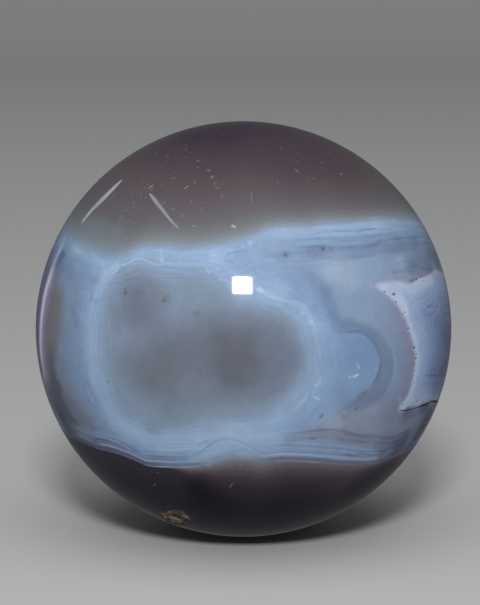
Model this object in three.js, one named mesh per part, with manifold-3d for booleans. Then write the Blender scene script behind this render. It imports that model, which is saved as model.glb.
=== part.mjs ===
// A polished banded agate ball, standing on a small ground flat. It is one natural stone, so it is
// one solid: a ball with its foot ground flat, one rough chip on the underside, an open seam that
// runs round its right side and two long scratches in the polish.
//
// Frame: millimetres, +Z up, origin at the middle of the foot. The face that shows the blue eye is
// towards -Y, and +X is to its right.

import * as THREE from 'three';
import { mergeVertices } from 'three/addons/utils/BufferGeometryUtils.js';
import Module from 'manifold-3d';

// Driving dimensions, in millimetres.
const BALL_DIAMETER = 70;
const FOOT_DIAMETER = 11.8;

// Places on the ball are two angles in degrees: bearing is measured round the ball from the front
// (-Y) towards the right (+X), and rise is measured up from the equator. A heading is measured on
// the surface, clockwise from straight up as seen from outside.
const CHIP = { bearing: -36.8, rise: -57, heading: 46, length: 9.6, width: 4.6, depth: 1.0 };
const SEAM = { bearing: 66, rise: -17, heading: 94, length: 20, width: 0.6, depth: 0.3 };
const SCRATCHES = [
  { bearing: -63.7, rise: 42.1, heading: 192, length: 9.7, width: 1.7, depth: 0.2 },
  { bearing: -29.8, rise: 41.7, heading: 127, length: 10.2, width: 0.8, depth: 0.2 },
];

// How finely the solid is faceted.
const BALL_FACE_SPLITS = 18; // edges along one side of each of the icosahedron's 20 faces
const GROOVE_SIDES = 6;
const GROOVE_RINGS = 12;
const CHIP_FACE_SPLITS = 3;
const CHIP_ROUGHNESS = 0.16; // how far the broken faces stray, as a share of the chip's size
const CHIP_LIFT = 0.7; // how far the middle of the cutter stands off the ball, in chip depths
const CHIP_SEED = 7;
const WELD_DISTANCE = 1e-5;

const BALL_RADIUS = BALL_DIAMETER / 2;
const FOOT_RADIUS = FOOT_DIAMETER / 2;
const FOOT_DROP = Math.sqrt(BALL_RADIUS ** 2 - FOOT_RADIUS ** 2); // ball centre down to the foot

const wasm = await Module();
wasm.setup();

// The geometry with positions alone and one vertex at each corner.
function weld(geometry) {
  const bare = geometry.clone();
  bare.deleteAttribute('normal');
  bare.deleteAttribute('uv');
  return mergeVertices(bare, WELD_DISTANCE);
}

// A three.js geometry as a solid that can be cut and joined.
function solidFrom(geometry) {
  const welded = weld(geometry);
  return new wasm.Manifold(new wasm.Mesh({
    numProp: 3,
    vertProperties: new Float32Array(welded.attributes.position.array),
    triVerts: new Uint32Array(welded.index.array),
  }));
}

// A solid back as a three.js geometry.
function geometryFrom(solid) {
  const mesh = solid.getMesh();
  const geometry = new THREE.BufferGeometry();
  geometry.setAttribute('position', new THREE.BufferAttribute(mesh.vertProperties, mesh.numProp));
  geometry.setIndex(new THREE.BufferAttribute(mesh.triVerts, 1));
  geometry.computeVertexNormals();
  return geometry;
}

// Repeatable scatter between -1 and 1.
function makeScatter(seed) {
  let state = seed;
  return () => {
    state = (state * 1664525 + 1013904223) % 4294967296;
    return (state / 4294967296) * 2 - 1;
  };
}

// The turn that carries a cutter made at the top of the ball, lying along +Y, to its place.
function placeOnBall({ bearing, rise, heading }) {
  const around = THREE.MathUtils.degToRad(bearing);
  const up = THREE.MathUtils.degToRad(rise);
  const course = THREE.MathUtils.degToRad(heading);
  const outward = new THREE.Vector3(
    Math.cos(up) * Math.sin(around),
    -Math.cos(up) * Math.cos(around),
    Math.sin(up),
  );
  const rightward = new THREE.Vector3(Math.cos(around), Math.sin(around), 0);
  const upward = new THREE.Vector3().crossVectors(outward, rightward);
  const along = upward.multiplyScalar(Math.cos(course)).addScaledVector(rightward, Math.sin(course));
  const across = new THREE.Vector3().crossVectors(along, outward);
  return new THREE.Matrix4().makeBasis(across, along, outward);
}

// Lays a shape of half sizes 1 over the top of the ball: x across, y along the surface, z out.
function wrapOverBall(shape, halfWidth, halfLength, halfHeight, lift) {
  const position = shape.attributes.position;
  for (let i = 0; i < position.count; i += 1) {
    const angle = (position.getY(i) * halfLength) / BALL_RADIUS;
    const radius = BALL_RADIUS + lift + position.getZ(i) * halfHeight;
    const across = position.getX(i) * halfWidth;
    position.setXYZ(i, across, radius * Math.sin(angle), radius * Math.cos(angle));
  }
  return shape;
}

// A groove that is widest and deepest at its middle and runs out to nothing at both ends.
function grooveCutter(groove) {
  const spindle = new THREE.SphereGeometry(1, GROOVE_SIDES, GROOVE_RINGS);
  wrapOverBall(spindle, groove.width / 2, groove.length / 2, groove.depth, 0);
  return solidFrom(spindle.applyMatrix4(placeOnBall(groove)));
}

// A shallow hollow with broken, uneven faces.
function chipCutter(chip) {
  const scatter = makeScatter(CHIP_SEED);
  const rock = weld(new THREE.IcosahedronGeometry(1, CHIP_FACE_SPLITS - 1));
  const position = rock.attributes.position;
  for (let i = 0; i < position.count; i += 1) {
    const stretch = 1 + CHIP_ROUGHNESS * scatter();
    position.setXYZ(
      i,
      position.getX(i) * stretch,
      position.getY(i) * stretch,
      position.getZ(i) * stretch,
    );
  }
  const lift = chip.depth * CHIP_LIFT;
  wrapOverBall(rock, chip.width / 2, chip.length / 2, chip.depth + lift, lift);
  return solidFrom(rock.applyMatrix4(placeOnBall(chip)));
}

// Everything below the plane of the foot.
function footCutter() {
  const reach = BALL_DIAMETER;
  const block = new THREE.BoxGeometry(reach, reach, reach);
  block.translate(0, 0, -FOOT_DROP - reach / 2);
  return solidFrom(block);
}

function agateSphere() {
  let stone = solidFrom(new THREE.IcosahedronGeometry(BALL_RADIUS, BALL_FACE_SPLITS - 1));
  stone = stone.subtract(footCutter());
  stone = stone.subtract(chipCutter(CHIP));
  for (const groove of [SEAM, ...SCRATCHES]) {
    stone = stone.subtract(grooveCutter(groove));
  }
  return geometryFrom(stone.translate([0, 0, FOOT_DROP]));
}

const agate = new THREE.MeshStandardMaterial({ color: 0x76808f, roughness: 0.1, metalness: 0 });

const part = new THREE.Group();
const ball = new THREE.Mesh(agateSphere(), agate);
ball.name = 'agate_sphere';
part.add(ball);

export default part;
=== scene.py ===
# A polished banded agate ball, resting on its small ground flat in a plain studio.
#
# The stone is one closed mesh of fine triangles. Its pattern is not a picture: named curves on the
# ball (the belt's two walls, the grey window, the blue eye, the white-edged cells, the bright
# threads) are turned into distances in millimetres at every vertex, and the material's nodes turn
# those distances into bands, seams and clouds. Lengths are in millimetres until a mesh is made;
# the studio's are in metres.
# Some painted colours stand in for light: a reflection of a strip light along the left rim, a reflection
# in the window's middle, and shade towards the lower rim.

import bpy
import math
import numpy as np
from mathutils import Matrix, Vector


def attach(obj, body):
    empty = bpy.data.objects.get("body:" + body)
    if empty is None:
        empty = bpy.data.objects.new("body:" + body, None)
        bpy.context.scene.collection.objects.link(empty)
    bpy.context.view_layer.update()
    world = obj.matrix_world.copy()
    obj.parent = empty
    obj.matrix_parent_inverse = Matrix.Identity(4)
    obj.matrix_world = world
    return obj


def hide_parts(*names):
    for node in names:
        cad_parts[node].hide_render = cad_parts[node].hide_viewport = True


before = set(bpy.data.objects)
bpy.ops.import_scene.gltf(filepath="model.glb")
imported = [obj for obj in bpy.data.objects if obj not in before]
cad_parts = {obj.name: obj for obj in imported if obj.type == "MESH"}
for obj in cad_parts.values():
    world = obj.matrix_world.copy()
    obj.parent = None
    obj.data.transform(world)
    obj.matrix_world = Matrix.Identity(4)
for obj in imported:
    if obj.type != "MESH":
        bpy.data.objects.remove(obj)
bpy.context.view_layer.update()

MM = 0.001
NODE = "agate_sphere"
PIECE = "agate_sphere_stone"

# The ball, as the solid has it.
BALL_RADIUS = 35.0
FOOT_RADIUS = 5.9
CENTRE_HEIGHT = math.sqrt(BALL_RADIUS ** 2 - FOOT_RADIUS ** 2)
CENTRE = Vector((0, 0, CENTRE_HEIGHT * MM))

# The photograph's frame, and where the ball stands in it.
IMAGE_WIDTH = 480
IMAGE_HEIGHT = 605
PHOTO_CENTRE = (243.5, 328.8)
PHOTO_RADIUS = 207.8
CAMERA_DISTANCE = 500.0
CAMERA_ELEVATION = math.radians(10.0)
FOCAL_PX = PHOTO_RADIUS / math.tan(math.asin(BALL_RADIUS / CAMERA_DISTANCE))
LOOK = np.array([0.0, math.cos(CAMERA_ELEVATION), -math.sin(CAMERA_ELEVATION)])
SCREEN_UP = np.array([0.0, math.sin(CAMERA_ELEVATION), math.cos(CAMERA_ELEVATION)])
SCREEN_RIGHT = np.array([1.0, 0.0, 0.0])
SENSOR_WIDTH = 36.0
CLIP_NEAR = 0.01
CLIP_FAR = 20

# Lights: name, bearing and rise in degrees, distance, width, height, radiance, seen in the polish.
LIGHTS = [
    ("key", -0.8, 33, 0.9, 0.148, 0.132, 84.0, True),
    ("overhead", 0, 72, 1.3, 1.4, 1.4, 0.95, False),
]
# The room gives soft light all round, but looks dimmer in the polish.
ROOM_COLOUR = (0.95, 0.97, 1.0, 1)
ROOM_LIGHT = 0.19
ROOM_IN_POLISH = 0.09

# The floor: a level sheet that bends up into a wall behind the ball.
FLOOR_COLOUR = (0.56, 0.56, 0.56, 1)
FLOOR_ROUGHNESS = 0.8
FLOOR_HALF_WIDTH = 1.8
FLOOR_FRONT = -1.8
FLOOR_BACK = 0.9
BEND_RADIUS = 0.5
BEND_STEPS = 24
WALL_TOP = 2.6


# Camera, lights and floor.

def add_object(name, data):
    """A new object with this data, linked to the scene."""
    thing = bpy.data.objects.new(name, data)
    bpy.context.scene.collection.objects.link(thing)
    return thing


def add_camera():
    """A camera that sees the ball where the photograph shows it."""
    look = Vector(LOOK)
    per_px = CAMERA_DISTANCE * MM / FOCAL_PX
    aim = (CENTRE + Vector(SCREEN_UP) * (PHOTO_CENTRE[1] - IMAGE_HEIGHT / 2) * per_px
           - Vector(SCREEN_RIGHT) * (PHOTO_CENTRE[0] - IMAGE_WIDTH / 2) * per_px)
    data = bpy.data.cameras.new("camera")
    data.sensor_fit = "HORIZONTAL"
    data.sensor_width = SENSOR_WIDTH
    data.lens = FOCAL_PX / IMAGE_WIDTH * SENSOR_WIDTH
    data.clip_start = CLIP_NEAR
    data.clip_end = CLIP_FAR
    camera = add_object("camera", data)
    camera.location = CENTRE - look * CAMERA_DISTANCE * MM
    camera.rotation_euler = (aim - camera.location).to_track_quat("-Z", "Y").to_euler()
    bpy.context.scene.camera = camera


def add_light(name, bearing, rise, distance, width, height, radiance, shows_in_gloss):
    """A flat rectangular light that faces the ball."""
    direction = Vector(from_angles([(bearing, rise)])[0])
    data = bpy.data.lights.new(name, "AREA")
    data.shape = "RECTANGLE"
    data.size = width
    data.size_y = height
    data.energy = radiance * math.pi * width * height
    light = add_object(name, data)
    light.location = CENTRE + direction * distance
    light.rotation_euler = (-direction).to_track_quat("-Z", "Y").to_euler()
    light.visible_glossy = shows_in_gloss


def add_room():
    """The even light of the room, weaker for rays that come off the polish."""
    world = bpy.data.worlds.new("studio")
    world.use_nodes = True
    tree = world.node_tree
    background = tree.nodes["Background"]
    background.inputs["Color"].default_value = ROOM_COLOUR
    path = tree.nodes.new("ShaderNodeLightPath")
    strength = tree.nodes.new("ShaderNodeMapRange")
    strength.inputs["To Min"].default_value = ROOM_LIGHT
    strength.inputs["To Max"].default_value = ROOM_IN_POLISH
    tree.links.new(path.outputs["Is Glossy Ray"], strength.inputs["Value"])
    tree.links.new(strength.outputs["Result"], background.inputs["Strength"])
    bpy.context.scene.world = world
    bpy.context.scene.view_settings.view_transform = "Standard"


def add_floor():
    """The plain pale floor, which isn't mirrored in the polish."""
    profile = [(FLOOR_FRONT, 0.0), (FLOOR_BACK, 0.0)]
    for step in range(1, BEND_STEPS + 1):
        turn = math.pi / 2 * step / BEND_STEPS
        profile.append((FLOOR_BACK + BEND_RADIUS * math.sin(turn), BEND_RADIUS * (1 - math.cos(turn))))
    profile.append((FLOOR_BACK + BEND_RADIUS, WALL_TOP))
    verts = [(x, y, z) for y, z in profile for x in (-FLOOR_HALF_WIDTH, FLOOR_HALF_WIDTH)]
    faces = [(2 * i, 2 * i + 1, 2 * i + 3, 2 * i + 2) for i in range(len(profile) - 1)]
    mesh = bpy.data.meshes.new("floor")
    mesh.from_pydata(verts, [], faces)
    mesh.polygons.foreach_set("use_smooth", [True] * len(faces))
    material = bpy.data.materials.new("floor")
    material.use_nodes = True
    shader = material.node_tree.nodes["Principled BSDF"]
    shader.inputs["Base Color"].default_value = FLOOR_COLOUR
    shader.inputs["Roughness"].default_value = FLOOR_ROUGHNESS
    mesh.materials.append(material)
    floor = add_object("floor", mesh)
    floor.visible_glossy = False


# Places on the ball. Directions are unit vectors from the ball's centre; the pattern's curves are
# given where they are seen in the photograph's frame, or as (bearing, rise) in degrees where they
# run on round the unseen sides. Bearing goes round from the front (-Y) towards the right (+X).

# The smallest length or divisor that the sums below let through.
TINY = 1e-9
# How many directions are compared with a curve at a time.
CHUNK = 4000
# How far in mm an outline's distances are worked out, and the cosine of the angle from its middle
# past which nothing is inside it.
OUTLINE_REACH = 14.0
NEAR_SIDE = -0.5
# How much the waves of a random cloud differ in length.
WAVE_SPREAD = (0.6, 1.4)


def unit(vectors):
    """The same directions, each of length one."""
    return vectors / np.linalg.norm(vectors, axis=-1, keepdims=True)


def from_photo(pixels):
    """Directions to the points of the ball seen at these places of the photograph's frame."""
    pixels = np.asarray(pixels, float)
    across = (pixels[:, 0] - PHOTO_CENTRE[0]) / FOCAL_PX
    up = (PHOTO_CENTRE[1] - pixels[:, 1]) / FOCAL_PX
    ray = unit(LOOK + across[:, None] * SCREEN_RIGHT + up[:, None] * SCREEN_UP)
    eye = -LOOK * CAMERA_DISTANCE
    half = ray @ eye
    gap = np.maximum(half ** 2 - eye @ eye + BALL_RADIUS ** 2, 0.0)
    return unit(eye + ray * (-half - np.sqrt(gap))[:, None])


def from_angles(angles):
    """Directions for (bearing, rise) pairs in degrees."""
    bearing, rise = np.radians(np.asarray(angles, float)).T
    level = np.cos(rise)
    return np.stack([level * np.sin(bearing), -level * np.cos(bearing), np.sin(rise)], 1)


def to_angles(directions):
    """Bearing and rise in degrees of each direction."""
    bearing = np.degrees(np.arctan2(directions[:, 0], -directions[:, 1]))
    rise = np.degrees(np.arcsin(np.clip(directions[:, 2], -1, 1)))
    return bearing, rise


def ball_curve(points, closed=False, per_span=8):
    """A dense smooth curve on the ball through the given directions."""
    if closed:
        row = np.concatenate([points[-1:], points, points[:2]])
    else:
        row = np.concatenate([2 * points[:1] - points[1:2], points, 2 * points[-1:] - points[-2:-1]])
    t = (np.arange(per_span) / per_span)[:, None]
    spans = []
    for a, b, c, d in zip(row[:-3], row[1:-2], row[2:-1], row[3:]):
        spans.append(0.5 * (2 * b + (c - a) * t + (2 * a - 5 * b + 4 * c - d) * t ** 2
                            + (3 * b - a - 3 * c + d) * t ** 3))
    return unit(np.concatenate(spans + [row[-2:-1]]))


def reach_of(curve, directions, reach):
    """Distance in mm to a curve (at most reach), and the share of its length to that point."""
    distance = np.full(len(directions), float(reach))
    along = np.zeros(len(directions))
    middle = unit(curve.mean(0))
    widest = math.acos(np.clip(curve @ middle, -1, 1).min())
    near = np.flatnonzero(directions @ middle > math.cos(min(widest + reach / BALL_RADIUS, math.pi)))
    start, step = curve[:-1], np.diff(curve, axis=0)
    length2 = np.maximum((step ** 2).sum(1), TINY ** 2)
    arc = np.concatenate([[0.0], np.cumsum(np.sqrt(length2))])
    for chunk in np.array_split(near, len(near) // CHUNK + 1):
        ahead = directions[chunk] @ step.T - (start * step).sum(1)
        t = np.clip(ahead / length2, 0, 1)
        gap2 = 2 - 2 * (directions[chunk] @ start.T) - 2 * t * ahead + t ** 2 * length2
        best = gap2.argmin(1)
        row = np.arange(len(chunk))
        distance[chunk] = np.minimum(np.sqrt(np.maximum(gap2[row, best], 0)) * BALL_RADIUS, reach)
        along[chunk] = (arc[best] + t[row, best] * np.sqrt(length2[best])) / arc[-1]
    return distance, along


def flat_map(middle):
    """A function that lays directions flat round this middle, for all but the far side."""
    side = unit(np.cross(middle, [0.0, 0.0, 1.0]))
    top = np.cross(side, middle)

    def flat(vectors):
        scale = 1 / np.maximum(1 + vectors @ middle, TINY)
        return (vectors @ side) * scale, (vectors @ top) * scale
    return flat


def depth_inside(points, directions, reach=OUTLINE_REACH):
    """Depth in mm inside a closed curve: positive inside it and negative outside."""
    curve = ball_curve(points, closed=True)
    distance, _ = reach_of(curve, directions, reach)
    middle = unit(curve.mean(0))
    flat = flat_map(middle)
    px, py = flat(directions)
    cx, cy = flat(curve)
    inside = np.zeros(len(directions), bool)
    for ax, ay, bx, by in zip(cx[:-1], cy[:-1], cx[1:], cy[1:]):
        slope = (bx - ax) / (by - ay + TINY ** 2)
        inside ^= ((ay > py) != (by > py)) & (px < ax + slope * (py - ay))
    inside &= directions @ middle > NEAR_SIDE
    return np.where(inside, distance, -distance)


def wall_height(points, ends, bearing, rise):
    """Height in mm above a wavy wall that crosses the front and runs on to the given ends."""
    across, level = to_angles(from_photo(points))
    x, y = np.array(sorted(list(zip(across, level)) + ends)).T
    slope = np.gradient(y, x)
    i = np.clip(np.searchsorted(x, bearing) - 1, 0, len(x) - 2)
    span = x[i + 1] - x[i]
    t = (bearing - x[i]) / span
    wall = (y[i] * (1 + 2 * t) * (1 - t) ** 2 + slope[i] * span * t * (1 - t) ** 2
            + y[i + 1] * t ** 2 * (3 - 2 * t) + slope[i + 1] * span * t ** 2 * (t - 1))
    return np.radians(rise - wall) * BALL_RADIUS


def ease(low, high, value):
    """0 at low, 1 at high, level beyond them and smooth between; low may be the greater."""
    t = np.clip((value - low) / (high - low), 0, 1)
    return t * t * (3 - 2 * t)


def cloud(directions, size, seed, waves=14):
    """Soft random clouds between about -1 and 1, size mm across."""
    scatter = np.random.default_rng(seed)
    course = unit(scatter.normal(size=(waves, 3))) * scatter.uniform(*WAVE_SPREAD, (waves, 1))
    phase = scatter.uniform(0, 2 * math.pi, waves)
    angle = directions @ course.T * (BALL_RADIUS * math.pi / size) + phase
    return np.sin(angle).sum(1) / math.sqrt(waves)


def clouds(directions, layers):
    """Clouds laid over each other, each layer given as (amount, size in mm, seed)."""
    return sum(amount * cloud(directions, size, seed) for amount, size, seed in layers)


# The far side, all in degrees of bearing: where the front's layers turn back, over how wide a
# turn, where they are drawn out of shape, and where they begin and cease to be pinched.
FOLD_START = 78.0
FOLD_WIDTH = 24.0
FAR_SIDE = (84, 130)
PINCH_BEGINS = (84, 112)
PINCH_CEASES = (175, 130)
# The clouds that stir the far side: size in mm, seed and number of waves.
STIR_ACROSS = (34.0, 41, 5)
STIR_UP = (30.0, 42, 5)
# How far in degrees the far side moves across and up: everywhere, and with the clouds.
SHIFT_ACROSS = (9, 10)
SHIFT_UP = (3, 5)
# How far in degrees it is pinched, and how much more for each degree of rise.
PINCH = (6, 0.3)


def folded(directions):
    """Where the front shows the layers that come out again at each place of the far side.

    The layers run through the stone, so its far side is the front's mirror image, drawn out of
    shape with distance and pinched on the right-hand back."""
    bearing, rise = to_angles(directions)
    turn = np.abs(bearing)
    bend = np.clip(turn - FOLD_START, 0, FOLD_WIDTH)
    near = turn - bend ** 2 / FOLD_WIDTH - 2 * np.maximum(turn - FOLD_START - FOLD_WIDTH, 0)
    far = ease(*FAR_SIDE, turn)
    across = far * (SHIFT_ACROSS[0] + SHIFT_ACROSS[1] * cloud(directions, *STIR_ACROSS))
    pinch = ease(*PINCH_BEGINS, bearing) * ease(*PINCH_CEASES, bearing) * (PINCH[0] + PINCH[1] * rise)
    up = far * (SHIFT_UP[0] + SHIFT_UP[1] * cloud(directions, *STIR_UP)) + pinch
    rise = rise + up * np.cos(np.radians(rise))
    return from_angles(np.stack([np.sign(bearing) * near + across, rise], 1))


# The pattern's curves.

TOP_WALL = [
    (70, 233), (78, 237), (86, 242), (94, 245.5), (103, 248.5), (111, 251), (119, 251.5), (127, 250.5),
    (134, 247.5), (141, 244.5), (150, 243.7), (160, 243.7), (175, 244.2), (190, 245), (200, 244.3),
    (210, 243.2), (222, 241.8), (230, 240.2), (238, 237.8), (246, 235.4), (254, 232.8), (262, 229.4),
    (270, 226.8), (280, 225.3), (295, 224.6), (308, 224.2), (320, 222), (335, 220.5), (350, 220.3),
    (362, 219.9), (375, 218.9), (388, 217.5), (400, 217.2), (412, 217.1)]
TOP_WALL_ENDS = [(92, 31), (-88, 33)]
BOTTOM_WALL = [
    (74, 438.8), (80, 441.2), (86, 443.9), (92, 446.6), (100, 449.3), (110, 451.9), (120, 455),
    (130, 458.7), (140, 462.7), (147, 465.9), (153, 467), (162, 467.5), (175, 468), (190, 467.5),
    (205, 466), (220, 463), (232, 460), (245, 459), (256, 460.5), (264, 462), (275, 461), (290, 460.5),
    (310, 461.5), (330, 462.8), (350, 464), (365, 464.2), (378, 462.5), (388, 458.5), (396, 455),
    (404, 452)]
BOTTOM_WALL_ENDS = [(88, -29), (-92, -29)]
WINDOW = [
    (104, 300), (104, 330), (105, 350), (107, 370), (110, 385), (115, 398), (122, 408), (132, 418),
    (145, 425), (160, 429), (180, 430), (200, 429), (220, 426), (240, 422), (258, 418), (272, 412),
    (285, 404), (295, 394), (303, 382), (308, 367), (309, 352), (307, 338), (302, 326), (294, 317),
    (283, 310), (270, 306), (258, 303), (246, 299), (234, 292), (222, 283), (212, 275), (203, 270),
    (190, 270), (175, 272), (163, 270), (150, 268), (137, 267), (125, 269), (115, 275), (108, 285)]
WINDOW_CORE = [
    (146, 334), (168, 322), (190, 315), (215, 313), (245, 314), (270, 320), (290, 335), (297, 353),
    (294, 374), (280, 392), (258, 404), (230, 404), (205, 393), (188, 392), (170, 402), (150, 404),
    (135, 394), (128, 372), (131, 350)]
WINDOW_LOBE = [
    (120, 303), (124, 288), (136, 281), (150, 286), (160, 301), (159, 318), (147, 332), (129, 328),
    (120, 316)]
# The blue eye's edge, which is also the body's right-hand edge.
EYE_EDGE = [
    (341, 330), (350, 330.5), (361, 331.5), (369, 337), (375, 344), (379, 353), (380.5, 362), (379, 372),
    (375, 381), (369, 389), (361, 397), (353, 404), (345, 409)]
EYE = EYE_EDGE + [(336, 400), (331, 385), (329, 365), (331, 345)]
BODY_TOP = [(283, 262), (300, 269), (313, 282), (323, 295), (331, 307), (337, 320)]
BODY_FOOT = [(333, 416), (318, 426), (300, 434), (284, 441)]
BODY_LEFT = [
    (250, 449), (210, 452), (160, 448), (120, 436), (92, 410), (74, 370), (68, 330), (72, 290), (90, 262),
    (140, 255), (200, 250), (250, 250)]
BODY = BODY_TOP + EYE_EDGE + BODY_FOOT + BODY_LEFT
EYE_RING = [
    (346, 317), (358, 320), (369, 325), (379, 332), (387, 343), (392, 354), (395, 366), (393, 379),
    (388, 391), (379, 401), (367, 408), (354, 411), (342, 410), (332, 400), (326, 380), (325, 350),
    (332, 325)]
RIGHT_CELL = [
    (436, 269.5), (430, 271.5), (425, 274), (420, 277), (414, 280), (407, 282), (398, 281.5), (388, 282.5),
    (376, 285.5), (384, 292), (391, 298), (397, 304), (402, 311), (406, 319), (409, 328), (412, 338),
    (414.5, 348), (415.5, 358), (415, 368), (413.5, 378), (411, 388), (408, 396), (404, 402), (400, 408.5),
    (410, 408.5), (420, 405.5), (428, 402.5), (433, 401)]
RIGHT_CELL_ROUND = [
    (84, -17.5), (98, -20), (112, -18), (123, -10), (127, 0), (122, 10), (110, 16), (96, 17.5), (83, 17)]
# Along the left rim this edge is a painted reflection of a strip light, a thin bright line.
LEFT_CELL_AND_REFLECTION_LINE = [
    (45, 378), (43, 365), (41.5, 352), (41, 338), (41.5, 322), (43.1, 308), (46.1, 292), (49.9, 278),
    (54.6, 263), (60.4, 248), (65.5, 237), (70, 228)]
LEFT_CELL_ROUND = [(-78, 29), (-90, 24), (-107, 15), (-112, 3), (-110, -9), (-101, -17), (-88, -18)]
# The brownish patch ends just inside the left-hand cell's edge, the bright line that is a painted
# reflection of a strip light.
LEFT_PATCH = [
    (54, 263), (57, 272), (58.5, 285), (60, 300), (60, 318), (59.5, 335), (58, 352), (56.5, 366),
    (59, 380), (65, 395), (72, 408), (80, 420), (68, 424), (56, 410), (50, 395), (45.5, 378), (43.5, 365),
    (42, 352), (41.5, 338), (42, 322), (43.6, 308), (46.6, 292), (50.4, 278)]
LEFT_PATCH += [(across + 0.5, down) for across, down in LEFT_CELL_AND_REFLECTION_LINE[:8]]


# Bands that follow a wall or an outline: (millimetres from it, colour, how much it covers).

TOP_CAP = [
    (-1.1, (142, 163, 190), 0), (-0.6, (138, 157, 180), 0.8), (-0.1, (135, 150, 167), 1),
    (0.2, (132, 144, 156), 1), (0.5, (128, 137, 145), 1), (0.9, (124, 131, 137), 1),
    (1.4, (119, 124, 129), 1), (2, (113, 117, 121), 1), (2.8, (108, 110, 113), 1),
    (3.5, (104, 103, 108), 1), (4.5, (101, 98, 103), 1), (6.5, (96, 90, 95), 1), (9.2, (91, 81, 86), 1),
    (13.7, (80, 69, 76), 1), (19, (72, 59, 69), 1), (24, (60, 47, 62), 1), (32, (52, 40, 56), 1)]
BOTTOM_CAP = [
    (-0.9, (134, 147, 168), 0), (-0.2, (126, 132, 145), 0.7), (0.3, (121, 124, 136), 1),
    (0.9, (116, 115, 123), 1), (1.5, (106, 104, 112), 1), (3, (88, 81, 91), 1), (4.8, (70, 61, 69), 1),
    (7.3, (54, 45, 54), 1), (10, (41, 34, 46), 1), (14, (31, 23, 35), 1), (20, (22, 15, 27), 1)]
BOTTOM_DARK = [
    (-0.05, (60, 58, 72), 0), (0.08, (52, 50, 60), 1), (1.5, (50, 46, 56), 1), (5, (40, 34, 45), 1),
    (9, (33, 26, 38), 1), (16, (23, 16, 28), 1)]
TOP_BANDS = [
    (-0.3, (132, 143, 155), 0), (0.1, (131, 146, 163), 0.7), (0.45, (132, 151, 175), 0.9),
    (0.75, (140, 161, 188), 0.9), (1.1, (149, 171, 200), 0.9), (1.4, (150, 173, 203), 0.9),
    (1.75, (145, 170, 201), 0.9), (2, (137, 163, 195), 0.9), (2.3, (146, 173, 204), 0.9),
    (2.6, (142, 168, 200), 0.9), (2.9, (132, 157, 189), 0.9), (3.3, (128, 153, 186), 0.9),
    (3.6, (134, 159, 190), 0.9), (3.85, (121, 146, 178), 0.9), (4.2, (134, 157, 188), 0.9),
    (4.5, (126, 147, 178), 0.8), (4.8, (117, 139, 170), 0.8), (5.2, (124, 145, 175), 0.7),
    (5.8, (126, 146, 176), 0.5), (8, (130, 150, 180), 0)]
LEFT_FAN = [
    (-0.1, (46, 42, 54), 0), (0, (60, 60, 76), 1), (0.1, (102, 106, 126), 1), (0.2, (96, 101, 122), 1),
    (0.34, (80, 86, 108), 1), (0.48, (96, 108, 134), 1), (0.62, (83, 94, 117), 1),
    (0.8, (93, 106, 132), 1), (0.94, (98, 112, 139), 1), (1.08, (124, 139, 168), 1),
    (1.26, (151, 168, 198), 1), (1.42, (143, 160, 190), 1), (1.6, (117, 136, 167), 1),
    (1.8, (124, 146, 178), 1), (1.95, (113, 135, 167), 1), (2.15, (130, 152, 184), 1),
    (2.35, (112, 134, 166), 1), (2.55, (130, 153, 185), 0.95), (2.75, (144, 167, 199), 0.9),
    (3, (125, 148, 180), 0.8), (3.2, (122, 144, 176), 0.7), (3.5, (138, 161, 193), 0.5),
    (3.8, (141, 165, 197), 0)]
RIGHT_FAN = [
    (-0.35, (100, 97, 106), 0), (-0.14, (110, 112, 124), 0.8), (0.02, (120, 125, 142), 1),
    (0.18, (106, 112, 130), 1), (0.34, (112, 120, 140), 1), (0.5, (104, 114, 137), 1),
    (0.75, (120, 134, 160), 1), (0.95, (134, 151, 180), 1), (1.15, (150, 170, 200), 1),
    (1.35, (151, 172, 203), 1), (1.6, (134, 156, 188), 1), (1.85, (117, 140, 172), 1),
    (2.05, (141, 162, 195), 1), (2.3, (128, 149, 181), 1), (2.5, (145, 165, 197), 1),
    (2.75, (134, 154, 187), 1), (2.95, (123, 143, 175), 1), (3.3, (139, 159, 191), 0.9),
    (3.55, (146, 165, 196), 0.8), (3.9, (131, 151, 183), 0.7), (4.3, (131, 150, 181), 0.5),
    (5.2, (134, 153, 182), 0)]
RIGHT_CELL_BANDS = [
    (-0.9, (138, 148, 174), 0), (-0.6, (143, 153, 178), 0.5), (-0.3, (152, 161, 186), 0.9),
    (-0.08, (164, 175, 200), 1), (0.16, (178, 190, 216), 1), (0.5, (180, 195, 223), 1),
    (0.9, (175, 192, 222), 1), (1.4, (162, 182, 213), 1), (1.9, (158, 178, 211), 1),
    (2.3, (153, 174, 208), 1), (2.6, (157, 178, 212), 1), (3.1, (148, 170, 206), 1),
    (3.5, (153, 175, 211), 1), (4, (141, 163, 201), 1), (4.5, (144, 166, 204), 1),
    (5.1, (133, 155, 193), 1), (5.7, (138, 159, 198), 1), (6.4, (126, 146, 186), 1),
    (7, (131, 151, 190), 1), (7.8, (117, 136, 175), 1), (8.6, (123, 141, 180), 1),
    (10, (111, 130, 168), 1), (11.2, (115, 132, 171), 1), (13, (100, 116, 153), 1)]
# The white line and its lavender fringe are a painted reflection of a strip light along the left rim; the
# darker blue bands further in are the stone's.
LEFT_CELL_AND_REFLECTION_BANDS = [
    (-4.6, (128, 126, 137), 0), (-3.6, (130, 127, 142), 0.6), (-2.6, (140, 136, 156), 0.9),
    (-1.7, (156, 151, 178), 1), (-1, (174, 168, 202), 1), (-0.5, (204, 199, 234), 1),
    (0, (244, 240, 255), 1), (0.5, (250, 246, 255), 1), (1, (206, 202, 236), 1), (1.7, (146, 142, 182), 1),
    (2.5, (110, 108, 148), 1), (4.2, (116, 122, 160), 1), (5.4, (98, 108, 148), 1),
    (6.8, (108, 120, 159), 1), (8.2, (92, 108, 147), 1), (10, (102, 117, 156), 1),
    (12.5, (88, 104, 142), 1)]
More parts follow.
